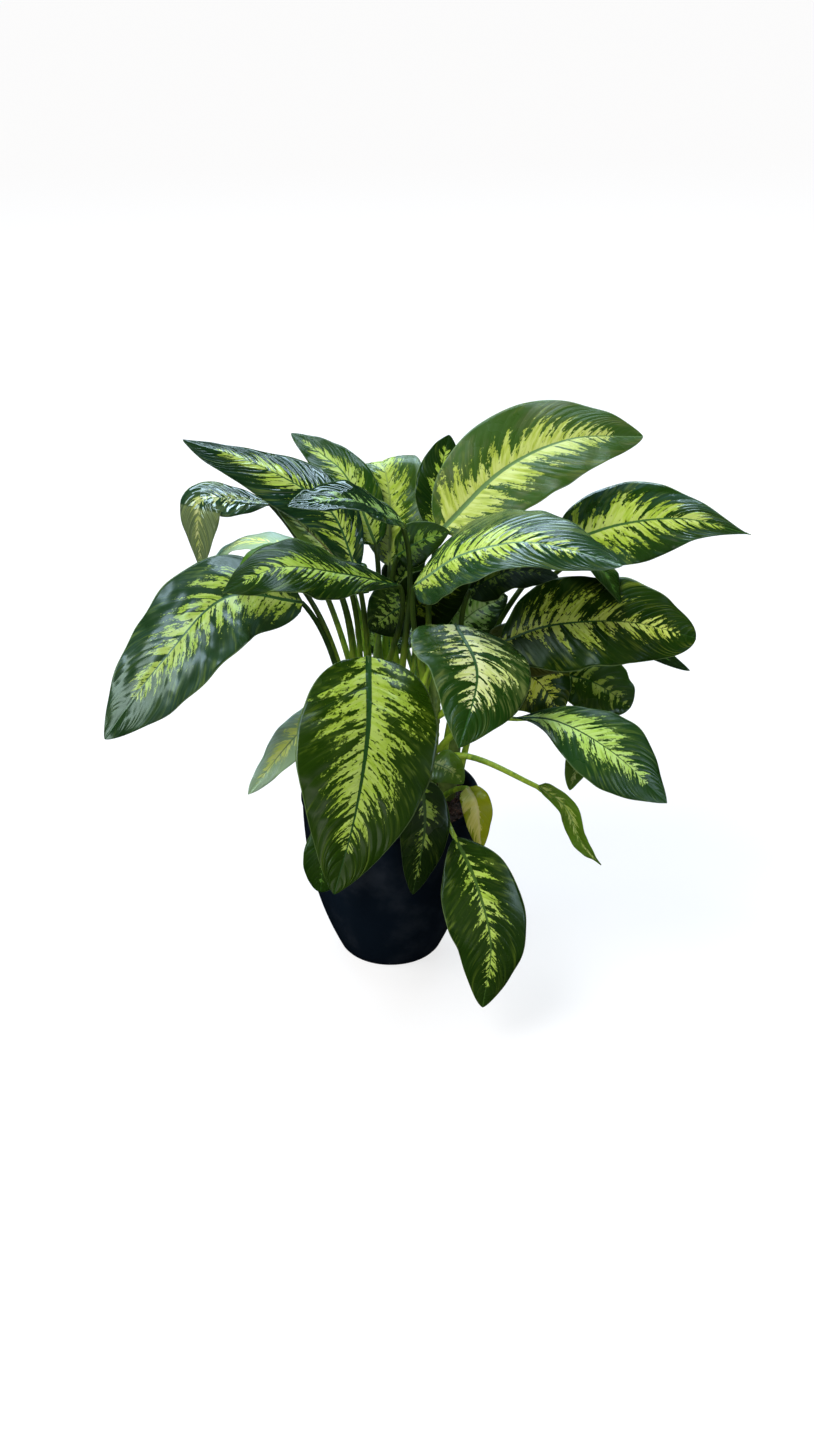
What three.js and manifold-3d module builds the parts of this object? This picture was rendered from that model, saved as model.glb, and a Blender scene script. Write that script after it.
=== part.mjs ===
// A potted dieffenbachia: a round dark pot, a bed of soil, short canes standing in it
// and their large variegated leaves, each one a blade grown on its own leaf stalk.
// Millimetres, +Z up. The origin is the centre of the pot's foot, and the plant's front faces -Y.
import * as THREE from "three";
import { mergeVertices } from "three/addons/utils/BufferGeometryUtils.js";
import Module from "manifold-3d";

const wasm = await Module();
wasm.setup();

// Pot
const POT_HEIGHT = 200;
const POT_RIM_RADIUS = 100;
const POT_FOOT_RADIUS = 58;
const POT_BELLY = 2.3; // how early the wall reaches its full width
const POT_WALL = 3.5;
const POT_FLOOR = 5;
const POT_LIP = 1.6; // how far the rounded lip stands proud of the wall
const POT_SIDES = 32;
const DRAIN_HOLES = 6;
const DRAIN_HOLE_RADIUS = 5;
const DRAIN_RING_RADIUS = 38;

// Soil and canes
const FIT_GAP = 0.35; // between pieces that rest on or in each other
const SOIL_GAP = 0.8; // between the soil's side and the pot's wall
const SOIL_TOP = 180;
const SOIL_RINGS = 3;
const SOIL_SECTORS = 24;
const CANE_DEPTH = 60; // how far a cane reaches into the soil
const CANE_FOOT_RADIUS = 11.5;
const CANE_TOP_RADIUS = 8.5;
const CANE_SPACING = 34; // between the rings that fallen leaves left
const CANE_SPEAR = 46; // the rolled new leaf on top of each cane
const CANE_SIDES = 8;

// Leaves
const BLADE_THICKNESS = 1;
const BLADE_ROWS = 8;
const BLADE_COLUMNS = 6;
const SMALL_BLADE_WIDTH = 78; // blades up to this width, and plain ones, have fewer rows and columns
const SMALL_BLADE_ROWS = 6;
const SMALL_BLADE_COLUMNS = 4;
const BLADE_WIDEST = 0.36; // share of the blade's length where it is widest
const BLADE_BASE = 0.65;
const BLADE_TAPER = 0.72;
const STALK_SIDES = 5;
const STALK_STEPS = 4;
const STALK_ROOT_SINK = 3; // how far inside its cane's side a stalk's root starts
const STALK_ROOT_DROP = 6; // and how far below the height where it stands clear
const STALK_FOOT_RADIUS = 4.2;
const STALK_RADIUS = 2.7;
const STALK_END_RADIUS = 1.5;
const STALK_RISE = 1; // how steeply a stalk leaves its cane
const STALK_BEND = 0.6; // how far it turns to meet its blade
const RIB_REACH = 0.14; // share of the blade that the stalk runs on under
const STALK_SINK = 0.8; // share of its radius that the stalk's middle lies below the blade

const CANES = {
  left: { foot: [-34, 0], top: [-20, 0, 325] },
  front: { foot: [0, -40], top: [6, -46, 320] },
  right: { foot: [40, -12], top: [48, -18, 330] },
  back_right: { foot: [28, 34], top: [34, 40, 345] },
  side: { foot: [64, 24], top: [80, 28, 335] },
  back: { foot: [-20, 38], top: [-14, 44, 340] },
};

// Each leaf: the cane and the height that its stalk grows from, the points its midrib passes
// through from base to tip, its full width, the way its upper face looks, how far its halves
// fold up in degrees, and the height of its edge's waves. Some leaves also say what share of
// their length is widest, how narrow the base starts, how quickly the tip tapers, and how their
// tip's face and fold differ.
const LEAVES = [
  {
    name: "leaf_front_broad", cane: "front", at: 292, width: 146, fold: 6, wave: 2,
    faces: [0.05, -1, 0.6], taper: 0.78,
    rib: [[-21, -95, 415], [-21, -160, 360], [-34, -200, 285], [-56, -230, 208]],
  },
  {
    name: "leaf_left_long", cane: "left", at: 257, width: 122, fold: 6, wave: 3,
    faces: [-0.35, -0.7, 0.75], widest: 0.46,
    rib: [[-92, -16, 441], [-171, -54, 463], [-238, -92, 405], [-300, -110, 325]],
  },
  {
    name: "leaf_left_folded", cane: "back", at: 262, width: 60, fold: 4, wave: 1,
    faces: [-0.1, -0.3, 1], tipFaces: [-0.7, -0.75, 0.15], tipFold: 4, widest: 0.5, taper: 0.9,
    rib: [[-133, 112, 506], [-168, 98, 515], [-200, 82, 522], [-210, 72, 508], [-209, 64, 442]],
  },
  {
    name: "leaf_upper_left", cane: "back", at: 300, width: 64, fold: 6, wave: 2,
    faces: [0.1, -0.9, 0.5], tipFaces: [-0.2, -0.3, 1], tipFold: -22, widest: 0.45,
    rib: [[-35, 0, 470], [-65, 25, 532], [-140, 65, 566], [-225, 95, 585]],
  },
  {
    name: "leaf_top_left", cane: "back", at: 318, width: 56, fold: 8, wave: 2,
    faces: [0.1, -0.8, 0.6],
    rib: [[-15, 50, 480], [-45, 90, 540], [-75, 118, 560], [-110, 145, 575]],
  },
  {
    name: "leaf_back_centre", cane: "back", at: 332, width: 86, fold: 8, wave: 2,
    faces: [0, -0.7, 0.7], widest: 0.5,
    rib: [[0, 60, 450], [0, 95, 515], [-8, 125, 548], [-12, 175, 520]],
  },
  {
    name: "leaf_centre_narrow", cane: "front", at: 316, width: 76, fold: 14, wave: 2,
    faces: [0, -0.2, 1],
    rib: [[15, -25, 535], [-40, -55, 572], [-100, -95, 580]],
  },
  {
    name: "leaf_back_pointed", cane: "back_right", at: 338, width: 52, fold: 10, wave: 2,
    faces: [-0.1, -0.9, 0.4], widest: 0.5,
    rib: [[50, 50, 490], [54, 75, 545], [65, 105, 587]],
  },
  {
    name: "leaf_low_left", cane: "left", at: 316, width: 82, fold: 6, wave: 3,
    faces: [0, -0.45, 0.9], widest: 0.56, base: 1, taper: 0.95,
    rib: [[13, -32, 467], [-48, -63, 494], [-110, -99, 516], [-167, -124, 499]],
  },
  {
    name: "leaf_top_right", cane: "back_right", at: 322, width: 122, fold: 16, wave: 2,
    faces: [-0.1, -0.65, 0.75], widest: 0.42,
    rib: [[55, 15, 510], [122, 45, 568], [195, 70, 594], [275, 90, 590]],
  },
  {
    name: "leaf_centre_right", cane: "right", at: 326, width: 114, fold: -5, wave: 2,
    faces: [0, -0.36, 0.93], widest: 0.36,
    rib: [[25, -45, 472], [73, -75, 531], [141, -118, 563], [231, -150, 539]],
  },
  {
    name: "leaf_right_drooping", cane: "side", at: 304, width: 50, fold: 10, wave: 1,
    faces: [0.5, -0.2, 0.8],
    rib: [[186, -17, 485], [219, -56, 497], [239, -86, 471]],
  },
  {
    name: "leaf_far_right", cane: "side", at: 324, width: 92, fold: 6, wave: 3,
    faces: [0, -0.8, 0.6], taper: 1.35,
    rib: [[185, 38, 485], [250, 40, 508], [320, 38, 515], [390, 30, 500]],
  },
  {
    name: "leaf_right_broad", cane: "right", at: 311, width: 104, fold: 6, wave: 4,
    faces: [0, -0.75, 0.65], widest: 0.42, taper: 0.48,
    rib: [[119, -35, 402], [172, -60, 434], [248, -85, 449], [319, -90, 433]],
  },
  {
    name: "leaf_right_under", cane: "side", at: 286, width: 50, fold: 8, wave: 2,
    faces: [0, -0.5, 1],
    rib: [[123, 35, 360], [187, 5, 374], [259, -25, 397], [323, -42, 372]],
  },
  {
    name: "leaf_low_right_inner", cane: "side", at: 213, width: 84, fold: 6, wave: 3,
    faces: [0.1, -0.8, 0.6],
    rib: [[133, -33, 372], [161, -48, 361], [186, -56, 327]],
  },
  {
    name: "leaf_low_right", cane: "right", at: 268, width: 86, fold: 6, wave: 2,
    faces: [0.2, -0.7, 0.8], widest: 0.58, base: 1.5, taper: 0.9,
    rib: [[126, -70, 330], [177, -98, 340], [234, -130, 320], [292, -150, 270]],
  },
  {
    name: "leaf_low_right_back", cane: "side", at: 270, width: 76, fold: 6, wave: 3,
    faces: [0.2, -0.7, 0.7], widest: 0.5, taper: 0.5,
    rib: [[185, 0, 350], [227, -22, 346], [262, -38, 325]],
  },
  {
    name: "leaf_front_right", cane: "front", at: 276, width: 132, fold: 6, wave: 2,
    faces: [0.5, -0.6, 1], widest: 0.3, taper: 0.88,
    rib: [[70, -70, 440], [90, -150, 420], [70, -235, 381]],
  },
  {
    name: "leaf_hanging_right", cane: "right", at: 206, width: 86, fold: 4, wave: 2,
    faces: [0.1, -1, 0.5], widest: 0.42, base: 0.95,
    rib: [[70, -135, 220], [92, -170, 185], [108, -200, 125], [100, -215, 55]],
  },
  {
    name: "leaf_yellowing", cane: "right", at: 192, width: 34, fold: 10, wave: 1,
    faces: [0.2, -1, 0.5],
    rib: [[85, -62, 240], [95, -88, 230], [100, -98, 180]],
  },
  {
    name: "leaf_small_right", cane: "front", at: 230, width: 40, fold: 8, wave: 1,
    faces: [0, -0.8, 0.6],
    rib: [[45, -60, 270], [65, -78, 270], [80, -90, 260]],
  },
  {
    name: "leaf_rim_front", cane: "front", at: 246, width: 54, fold: 8, wave: 1,
    faces: [0.1, -1, 0.4],
    rib: [[35, -100, 270], [38, -128, 225], [25, -140, 150]],
  },
  {
    name: "leaf_rim_left", cane: "left", at: 210, width: 46, fold: 8, wave: 1,
    faces: [-0.2, -1, 0.4], widest: 0.6, taper: 0.5,
    rib: [[-60, -95, 240], [-70, -125, 195], [-75, -135, 150]],
  },
  {
    name: "leaf_low_left_back", cane: "left", at: 220, width: 44, fold: 8, wave: 2,
    faces: [-0.3, -0.7, 0.7],
    rib: [[-65, -25, 325], [-108, -50, 290], [-155, -70, 235]],
  },
  {
    name: "leaf_curled", cane: "right", at: 251, width: 26, fold: 45, wave: 1,
    faces: [0.4, -0.6, 0.7],
    rib: [[160, -95, 260], [190, -108, 240], [206, -116, 205], [230, -120, 175]],
  },
  {
    name: "leaf_hanging_tip", cane: "side", at: 256, width: 30, fold: 10, wave: 1,
    faces: [0.3, -1, 0.4], widest: 0.6,
    rib: [[212, -25, 326], [209, -42, 275], [199, -52, 230]],
  },
  {
    name: "leaf_arching_left", cane: "back", at: 238, width: 46, fold: 4, wave: 2,
    faces: [-0.1, -0.1, 1],
    rib: [[-65, 42, 456], [-115, 56, 476], [-165, 66, 477], [-208, 76, 441]],
  },
  {
    name: "leaf_behind_left", cane: "left", at: 276, width: 56, fold: 8, wave: 2,
    faces: [0, 0, 1],
    rib: [[-110, 14, 466], [-170, 21, 468], [-235, 27, 451]],
  },
  {
    name: "leaf_shaded_right", cane: "side", at: 312, width: 66, fold: 8, wave: 2,
    faces: [0, -0.4, 1],
    rib: [[85, -15, 455], [130, -28, 482], [178, -40, 480]],
  },
  {
    name: "leaf_inner_right", cane: "side", at: 290, width: 76, fold: 8, wave: 2,
    faces: [0, -0.8, 0.6],
    rib: [[62, 35, 373], [93, 28, 410], [129, 20, 432]],
  },
  {
    name: "leaf_inner_centre", cane: "back_right", at: 250, width: 50, fold: 8, wave: 1,
    faces: [0, -0.7, 0.7],
    rib: [[7, 20, 479], [33, 12, 500], [64, 5, 514]],
  },
  {
    name: "leaf_inner_left", cane: "back", at: 208, width: 36, fold: 8, wave: 1,
    faces: [0, -0.4, 1],
    rib: [[-50, 20, 470], [-90, 45, 500], [-125, 62, 525]],
  },
  {
    name: "leaf_inner_low", cane: "front", at: 239, width: 64, fold: 8, wave: 1,
    faces: [0, -1, 0.45],
    rib: [[20, 15, 424], [4, 4, 421], [-22, -8, 405]],
  },
  {
    name: "leaf_inner_lime", cane: "back_right", at: 239, width: 46, fold: 8, wave: 1,
    faces: [0, -1, 0.4],
    rib: [[2, 63, 421], [17, 71, 442], [38, 80, 464]],
  },
  {
    name: "leaf_inner_dark", cane: "right", at: 299, width: 72, fold: 8, wave: 1,
    faces: [0, -1, 0.3],
    rib: [[16, 34, 400], [42, 33, 421], [86, 33, 443]],
  },
  {
    name: "leaf_right_inner", cane: "right", at: 228, width: 62, fold: 8, wave: 2,
    faces: [0.1, -0.8, 0.6],
    rib: [[102, -13, 392], [149, -31, 390], [204, -41, 381]],
  },
  {
    name: "leaf_left_inner", cane: "left", at: 304, width: 44, fold: 12, wave: 1,
    faces: [-0.3, -0.1, 1],
    rib: [[-60, 0, 465], [-105, -12, 495], [-140, -24, 500], [-160, -35, 480]],
  },
  {
    name: "leaf_rear_left", cane: "back", at: 280, width: 86, fold: 10, wave: 3,
    plain: true, faces: [0, 0.7, 1],
    rib: [[-40, 110, 395], [-75, 180, 412], [-110, 250, 375]],
  },
  {
    name: "leaf_rear_middle", cane: "back", at: 262, width: 92, fold: 8, wave: 3,
    plain: true, faces: [0, 0.7, 1],
    rib: [[-6, 100, 322], [6, 165, 345], [18, 235, 318]],
  },
  {
    name: "leaf_rear_right", cane: "back_right", at: 298, width: 88, fold: 10, wave: 3,
    plain: true, faces: [0.1, 0.7, 1],
    rib: [[85, 110, 400], [135, 175, 415], [180, 240, 375]],
  },
  {
    name: "leaf_rear_low_left", cane: "back", at: 214, width: 60, fold: 8, wave: 2,
    faces: [-0.2, 0.8, 0.8],
    rib: [[-30, 110, 275], [-40, 155, 270], [-52, 200, 220]],
  },
  {
    name: "leaf_rear_low_right", cane: "back_right", at: 222, width: 66, fold: 8, wave: 2,
    faces: [0.2, 0.8, 0.8],
    rib: [[60, 115, 290], [90, 165, 290], [120, 215, 235]],
  },
];

const vec = (p) => new THREE.Vector3(p[0], p[1], p[2]);

// A closed mesh as a solid, for joining and cutting.
function solidOf(geometry) {
  const bare = geometry.clone();
  bare.deleteAttribute("normal");
  bare.deleteAttribute("uv");
  const merged = mergeVertices(bare, 1e-3);
  return new wasm.Manifold(
    new wasm.Mesh({
      numProp: 3,
      vertProperties: new Float32Array(merged.attributes.position.array),
      triVerts: new Uint32Array(merged.index.array),
    }),
  );
}

function geometryOf(solid) {
  const mesh = solid.getMesh();
  const geometry = new THREE.BufferGeometry()
    .setAttribute("position", new THREE.BufferAttribute(mesh.vertProperties, 3))
    .setIndex(new THREE.BufferAttribute(mesh.triVerts, 1));
  geometry.computeVertexNormals();
  return geometry;
}

// Pot
function potRadius(z) {
  const share = 1 - z / POT_HEIGHT;
  return POT_FOOT_RADIUS + (POT_RIM_RADIUS - POT_FOOT_RADIUS) * (1 - share ** POT_BELLY);
}

const innerRadius = (z) => potRadius(z) - POT_WALL;

// The heights where the wall's outline has a point, from foot to rim.
const WALL_HEIGHTS = [0, 12, 30, 52, 80, 112, 146, 178];

function potGeometry() {
  const outer = WALL_HEIGHTS.map((z) => new THREE.Vector2(potRadius(z), z));
  const inner = WALL_HEIGHTS.filter((z) => z > POT_FLOOR)
    .reverse()
    .map((z) => new THREE.Vector2(innerRadius(z), z));
  const lip = [
    new THREE.Vector2(potRadius(POT_HEIGHT - 10), POT_HEIGHT - 10),
    new THREE.Vector2(POT_RIM_RADIUS + POT_LIP, POT_HEIGHT - 7),
    new THREE.Vector2(POT_RIM_RADIUS + POT_LIP, POT_HEIGHT - 2),
    new THREE.Vector2(POT_RIM_RADIUS, POT_HEIGHT),
    new THREE.Vector2(POT_RIM_RADIUS - 3, POT_HEIGHT),
    new THREE.Vector2(innerRadius(POT_HEIGHT - 3), POT_HEIGHT - 3),
  ];
  const profile = [
    new THREE.Vector2(0, 0),
    ...outer,
    ...lip,
    ...inner,
    new THREE.Vector2(innerRadius(POT_FLOOR), POT_FLOOR),
    new THREE.Vector2(0, POT_FLOOR),
  ];
  // LatheGeometry turns about Y, so the pot is stood up along Z.
  const turned = new THREE.LatheGeometry(profile, POT_SIDES).rotateX(Math.PI / 2);
  let pot = solidOf(turned);
  for (let i = 0; i < DRAIN_HOLES; i++) {
    const turn = ((i + 0.5) / DRAIN_HOLES) * 2 * Math.PI;
    const drill = new THREE.CylinderGeometry(DRAIN_HOLE_RADIUS, DRAIN_HOLE_RADIUS, 3 * POT_FLOOR, 10)
      .rotateX(Math.PI / 2)
      .translate(DRAIN_RING_RADIUS * Math.cos(turn), DRAIN_RING_RADIUS * Math.sin(turn), 0);
    pot = pot.subtract(solidOf(drill));
  }
  return geometryOf(pot);
}

// Canes: a point at a height on a cane's middle line, and its radius there
const CANE_ROOT = SOIL_TOP - CANE_DEPTH;

function canePoint(cane, z) {
  const share = (z - SOIL_TOP) / (cane.top[2] - SOIL_TOP);
  return new THREE.Vector3(
    THREE.MathUtils.lerp(cane.foot[0], cane.top[0], share),
    THREE.MathUtils.lerp(cane.foot[1], cane.top[1], share),
    z,
  );
}

function caneRadius(cane, z) {
  const share = THREE.MathUtils.clamp((z - SOIL_TOP) / (cane.top[2] - SOIL_TOP), 0, 1);
  return THREE.MathUtils.lerp(CANE_FOOT_RADIUS, CANE_TOP_RADIUS, share);
}

// A lathe along a cane's middle line. extra widens it, for the hole that it stands in.
function caneGeometry(cane, extra = 0) {
  const root = canePoint(cane, CANE_ROOT);
  const top = vec(cane.top);
  const length = root.distanceTo(top);
  const heightAt = (along) => CANE_ROOT + (along / length) * (cane.top[2] - CANE_ROOT);
  const radiusAt = (along) => caneRadius(cane, heightAt(along)) + extra;
  const profile = [new THREE.Vector2(0, -extra), new THREE.Vector2(radiusAt(0) * 0.8 + extra, -extra)];
  profile.push(new THREE.Vector2(radiusAt(3), 3));
  for (let along = CANE_DEPTH + 8; along < length - 12; along += CANE_SPACING) {
    profile.push(new THREE.Vector2(radiusAt(along) - 0.8, along - 3));
    profile.push(new THREE.Vector2(radiusAt(along), along));
    profile.push(new THREE.Vector2(radiusAt(along) - 0.8, along + 2));
  }
  profile.push(new THREE.Vector2(radiusAt(length) * 0.8, length));
  profile.push(new THREE.Vector2(radiusAt(length) * 0.45, length + CANE_SPEAR * 0.5));
  profile.push(new THREE.Vector2(0, length + CANE_SPEAR));
  const geometry = new THREE.LatheGeometry(profile, CANE_SIDES).rotateX(Math.PI / 2);
  const lean = new THREE.Quaternion().setFromUnitVectors(
    new THREE.Vector3(0, 0, 1),
    top.clone().sub(root).normalize(),
  );
  return geometry.applyQuaternion(lean).translate(root.x, root.y, root.z);
}

// Each cane with its fitting gap round it, which is cut out of the soil and of its own leaves.
const CANE_ROOM = {};
for (const [name, cane] of Object.entries(CANES)) CANE_ROOM[name] = solidOf(caneGeometry(cane, FIT_GAP));

// Soil: a filled bed that follows the pot's inside, with an uneven top and a hole for each cane
function soilHeight(x, y) {
  return SOIL_TOP + 1.6 * Math.sin(x / 11 + 1) * Math.cos(y / 13) + 1.1 * Math.sin((x + 2 * y) / 9);
}

function soilGeometry() {
  const edge = (z) => innerRadius(z) - SOIL_GAP;
  const profile = [new THREE.Vector2(0, POT_FLOOR + FIT_GAP)];
  profile.push(new THREE.Vector2(edge(POT_FLOOR), POT_FLOOR + FIT_GAP));
  for (const z of WALL_HEIGHTS) {
    if (z > POT_FLOOR && z < SOIL_TOP) profile.push(new THREE.Vector2(edge(z), z));
  }
  for (let ring = 0; ring <= SOIL_RINGS; ring++) {
    const share = 1 - ring / SOIL_RINGS;
    profile.push(new THREE.Vector2(edge(SOIL_TOP) * share, SOIL_TOP));
  }
  const bed = new THREE.LatheGeometry(profile, SOIL_SECTORS).rotateX(Math.PI / 2);
  const position = bed.attributes.position;
  for (let i = 0; i < position.count; i++) {
    if (position.getZ(i) > SOIL_TOP - 1)
      position.setZ(i, soilHeight(position.getX(i), position.getY(i)));
  }
  let soil = solidOf(bed);
  for (const room of Object.values(CANE_ROOM)) soil = soil.subtract(room);
  return geometryOf(soil);
}

// Blade outline: half its width as a share, with a round base and a tapering tip
function outlineShare(leaf, u) {
  const widest = leaf.widest ?? BLADE_WIDEST;
  const hump = Math.sin(Math.PI * u ** (Math.log(0.5) / Math.log(widest)));
  return Math.max(hump, 0) ** (u < widest ? (leaf.base ?? BLADE_BASE) : (leaf.taper ?? BLADE_TAPER));
}

function ribOf(leaf) {
  return new THREE.CatmullRomCurve3(leaf.rib.map(vec), false, "catmullrom", 0.5);
}

// The directions along, across and out of a leaf's upper face at a share u of its length.
function bladeFrame(leaf, rib, u) {
  const along = rib.getTangentAt(u);
  const looks = vec(leaf.faces).lerp(vec(leaf.tipFaces ?? leaf.faces), u);
  const out = looks.addScaledVector(along, -looks.dot(along)).normalize();
  const across = new THREE.Vector3().crossVectors(along, out);
  return { along, across, out };
}

// A point on the blade's middle surface: u from base to tip, w from -1 at one edge to 1 at the other.
function bladePoint(leaf, rib, index, u, w) {
  const { across, out } = bladeFrame(leaf, rib, u);
  const least = u < 0.5 ? 1.6 : 0.5;
  const half = Math.max((leaf.width / 2) * outlineShare(leaf, u), least);
  const fold = THREE.MathUtils.degToRad(THREE.MathUtils.lerp(leaf.fold, leaf.tipFold ?? leaf.fold, u));
  const side = w < 0 ? 0.6 : 0;
  const ripple = leaf.wave * Math.abs(w) ** 3 * Math.sin(2 * Math.PI * (2.3 * u + 0.38 * index + side));
  const rise = half * (Math.abs(w) * Math.sin(fold) - 0.16 * w * w);
  return rib
    .getPointAt(u)
    .addScaledVector(across, half * w * Math.cos(fold))
    .addScaledVector(out, rise + ripple * Math.min(1, (4 * half) / leaf.width));
}

// The blade as a thin closed plate, with both faces split into triangles alike.
function bladeGeometry(leaf, rib, index) {
  const small = leaf.plain || leaf.width <= SMALL_BLADE_WIDTH;
  const rows = 1 + (small ? SMALL_BLADE_ROWS : BLADE_ROWS);
  const columns = 1 + (small ? SMALL_BLADE_COLUMNS : BLADE_COLUMNS);
  const even = (i) => i / (rows - 1);
  const shareOf = (i) => 0.5 * even(i) + 0.25 * (1 - Math.cos(Math.PI * even(i)));
  const middle = (i, j) => bladePoint(leaf, rib, index, shareOf(i), (2 * j) / (columns - 1) - 1);
  const positions = [];
  for (const side of [1, -1]) {
    for (let i = 0; i < rows; i++) {
      for (let j = 0; j < columns; j++) {
        const ahead = middle(Math.min(i + 1, rows - 1), j).sub(middle(Math.max(i - 1, 0), j));
        const beside = middle(i, Math.min(j + 1, columns - 1)).sub(middle(i, Math.max(j - 1, 0)));
        const normal = new THREE.Vector3().crossVectors(beside, ahead).normalize();
        positions.push(...middle(i, j).addScaledVector(normal, (side * BLADE_THICKNESS) / 2).toArray());
      }
    }
  }
  const count = rows * columns;
  const at = (i, j) => i * columns + j;
  const faces = [];
  for (let i = 0; i < rows - 1; i++) {
    for (let j = 0; j < columns - 1; j++) {
      const [a, b, c, d] = [at(i, j), at(i, j + 1), at(i + 1, j + 1), at(i + 1, j)];
      faces.push(a, b, c, a, c, d);
      faces.push(count + a, count + c, count + b, count + a, count + d, count + c);
    }
  }
  const rim = [];
  for (let j = 0; j < columns - 1; j++) rim.push(at(0, j));
  for (let i = 0; i < rows - 1; i++) rim.push(at(i, columns - 1));
  for (let j = columns - 1; j > 0; j--) rim.push(at(rows - 1, j));
  for (let i = rows - 1; i > 0; i--) rim.push(at(i, 0));
  rim.forEach((a, k) => {
    const b = rim[(k + 1) % rim.length];
    faces.push(a, count + a, count + b, a, count + b, b);
  });
  return new THREE.BufferGeometry()
    .setAttribute("position", new THREE.Float32BufferAttribute(positions, 3))
    .setIndex(faces);
}

// A closed tapering tube along a list of points, whose first ring starts from the direction side.
function taperedTube(points, radii, sides, side) {
  const curve = new THREE.CatmullRomCurve3(points, false, "centripetal");
  const steps = points.length - 1;
  const spoke = side.clone();
  const positions = [];
  points.forEach((point, i) => {
    const tangent = curve.getTangent(i / steps);
    spoke.addScaledVector(tangent, -spoke.dot(tangent)).normalize();
    const other = new THREE.Vector3().crossVectors(tangent, spoke);
    for (let k = 0; k < sides; k++) {
      const turn = (k / sides) * 2 * Math.PI;
      const corner = point
        .clone()
        .addScaledVector(spoke, Math.cos(turn) * radii[i])
        .addScaledVector(other, Math.sin(turn) * radii[i]);
      positions.push(...corner.toArray());
    }
  });
  positions.push(...points[0].toArray(), ...points[steps].toArray());
  const first = points.length * sides;
  const faces = [];
  for (let i = 0; i < steps; i++) {
    for (let k = 0; k < sides; k++) {
      const [a, b] = [i * sides + k, i * sides + ((k + 1) % sides)];
      faces.push(a, b, b + sides, a, b + sides, a + sides);
    }
  }
  for (let k = 0; k < sides; k++) {
    const next = (k + 1) % sides;
    faces.push(first, next, k);
    faces.push(first + 1, steps * sides + k, steps * sides + next);
  }
  return new THREE.BufferGeometry()
    .setAttribute("position", new THREE.Float32BufferAttribute(positions, 3))
    .setIndex(faces);
}

// The stalk: out of the cane's side, up to the blade, then on under it as the midrib.
function stalkGeometry(leaf, rib) {
  const cane = CANES[leaf.cane];
  const start = bladeFrame(leaf, rib, 0);
  const base = vec(leaf.rib[0]).addScaledVector(start.out, -STALK_SINK * STALK_RADIUS);
  const heart = canePoint(cane, leaf.at);
  const outward = base.clone().sub(heart).setZ(0).normalize();
  const reach = caneRadius(cane, leaf.at) + STALK_FOOT_RADIUS + FIT_GAP;
  const foot = heart.clone().addScaledVector(outward, reach);
  const span = foot.distanceTo(base);
  const root = heart
    .clone()
    .addScaledVector(outward, caneRadius(cane, leaf.at) - STALK_ROOT_SINK)
    .setZ(leaf.at - STALK_ROOT_DROP);
  const ahead = base.clone().sub(foot).normalize();
  const leaving = new THREE.Vector3(0, 0, STALK_RISE).add(ahead).normalize();
  const arriving = start.along.clone().multiplyScalar(STALK_BEND).add(ahead).normalize();
  const stalk = new THREE.CubicBezierCurve3(
    foot,
    foot.clone().addScaledVector(leaving, 0.35 * span),
    base.clone().addScaledVector(arriving, -0.3 * span),
    base,
  );
  const points = [root];
  const radii = [STALK_FOOT_RADIUS];
  for (let i = 0; i <= STALK_STEPS; i++) {
    const share = i / STALK_STEPS;
    points.push(stalk.getPoint(share));
    radii.push(THREE.MathUtils.lerp(STALK_FOOT_RADIUS, STALK_RADIUS, share ** 0.6));
  }
  const { out } = bladeFrame(leaf, rib, RIB_REACH);
  points.push(rib.getPointAt(RIB_REACH).addScaledVector(out, -STALK_SINK * STALK_END_RADIUS));
  radii.push(STALK_END_RADIUS);
  const side = new THREE.Vector3(-outward.y, outward.x, 0);
  return taperedTube(points, radii, STALK_SIDES, side);
}

function leafGeometry(leaf, index) {
  const rib = ribOf(leaf);
  const whole = solidOf(bladeGeometry(leaf, rib, index)).add(solidOf(stalkGeometry(leaf, rib)));
  return geometryOf(whole.subtract(CANE_ROOM[leaf.cane]));
}

const POT_FINISH = new THREE.MeshStandardMaterial({ color: 0x14161c, roughness: 0.55 });
const SOIL_FINISH = new THREE.MeshStandardMaterial({ color: 0x3a241a, roughness: 1 });
const CANE_FINISH = new THREE.MeshStandardMaterial({ color: 0x6d8a33, roughness: 0.6 });
const LEAF_FINISH = new THREE.MeshStandardMaterial({ color: 0x2f5a24, roughness: 0.4 });
const YELLOW_FINISH = new THREE.MeshStandardMaterial({ color: 0xa6a430, roughness: 0.5 });

const plant = new THREE.Group();

function addNode(name, geometry, material) {
  const mesh = new THREE.Mesh(geometry, material);
  mesh.name = name;
  plant.add(mesh);
}

addNode("pot", potGeometry(), POT_FINISH);
addNode("soil", soilGeometry(), SOIL_FINISH);
for (const [name, cane] of Object.entries(CANES)) {
  addNode(`cane_${name}`, caneGeometry(cane), CANE_FINISH);
}
LEAVES.forEach((leaf, index) => {
  const finish = leaf.name === "leaf_yellowing" ? YELLOW_FINISH : LEAF_FINISH;
  addNode(leaf.name, leafGeometry(leaf, index), finish);
});

export default plant;
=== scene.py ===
"""The looks of the potted dieffenbachia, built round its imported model.

Everything is modelled in millimetres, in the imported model's frame, and each mesh is scaled to
metres as it is finished. The leaves follow the same midribs, outlines and stalks as the model.
"""

import math
import random

import bmesh
import bpy
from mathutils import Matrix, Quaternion, Vector, noise


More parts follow.
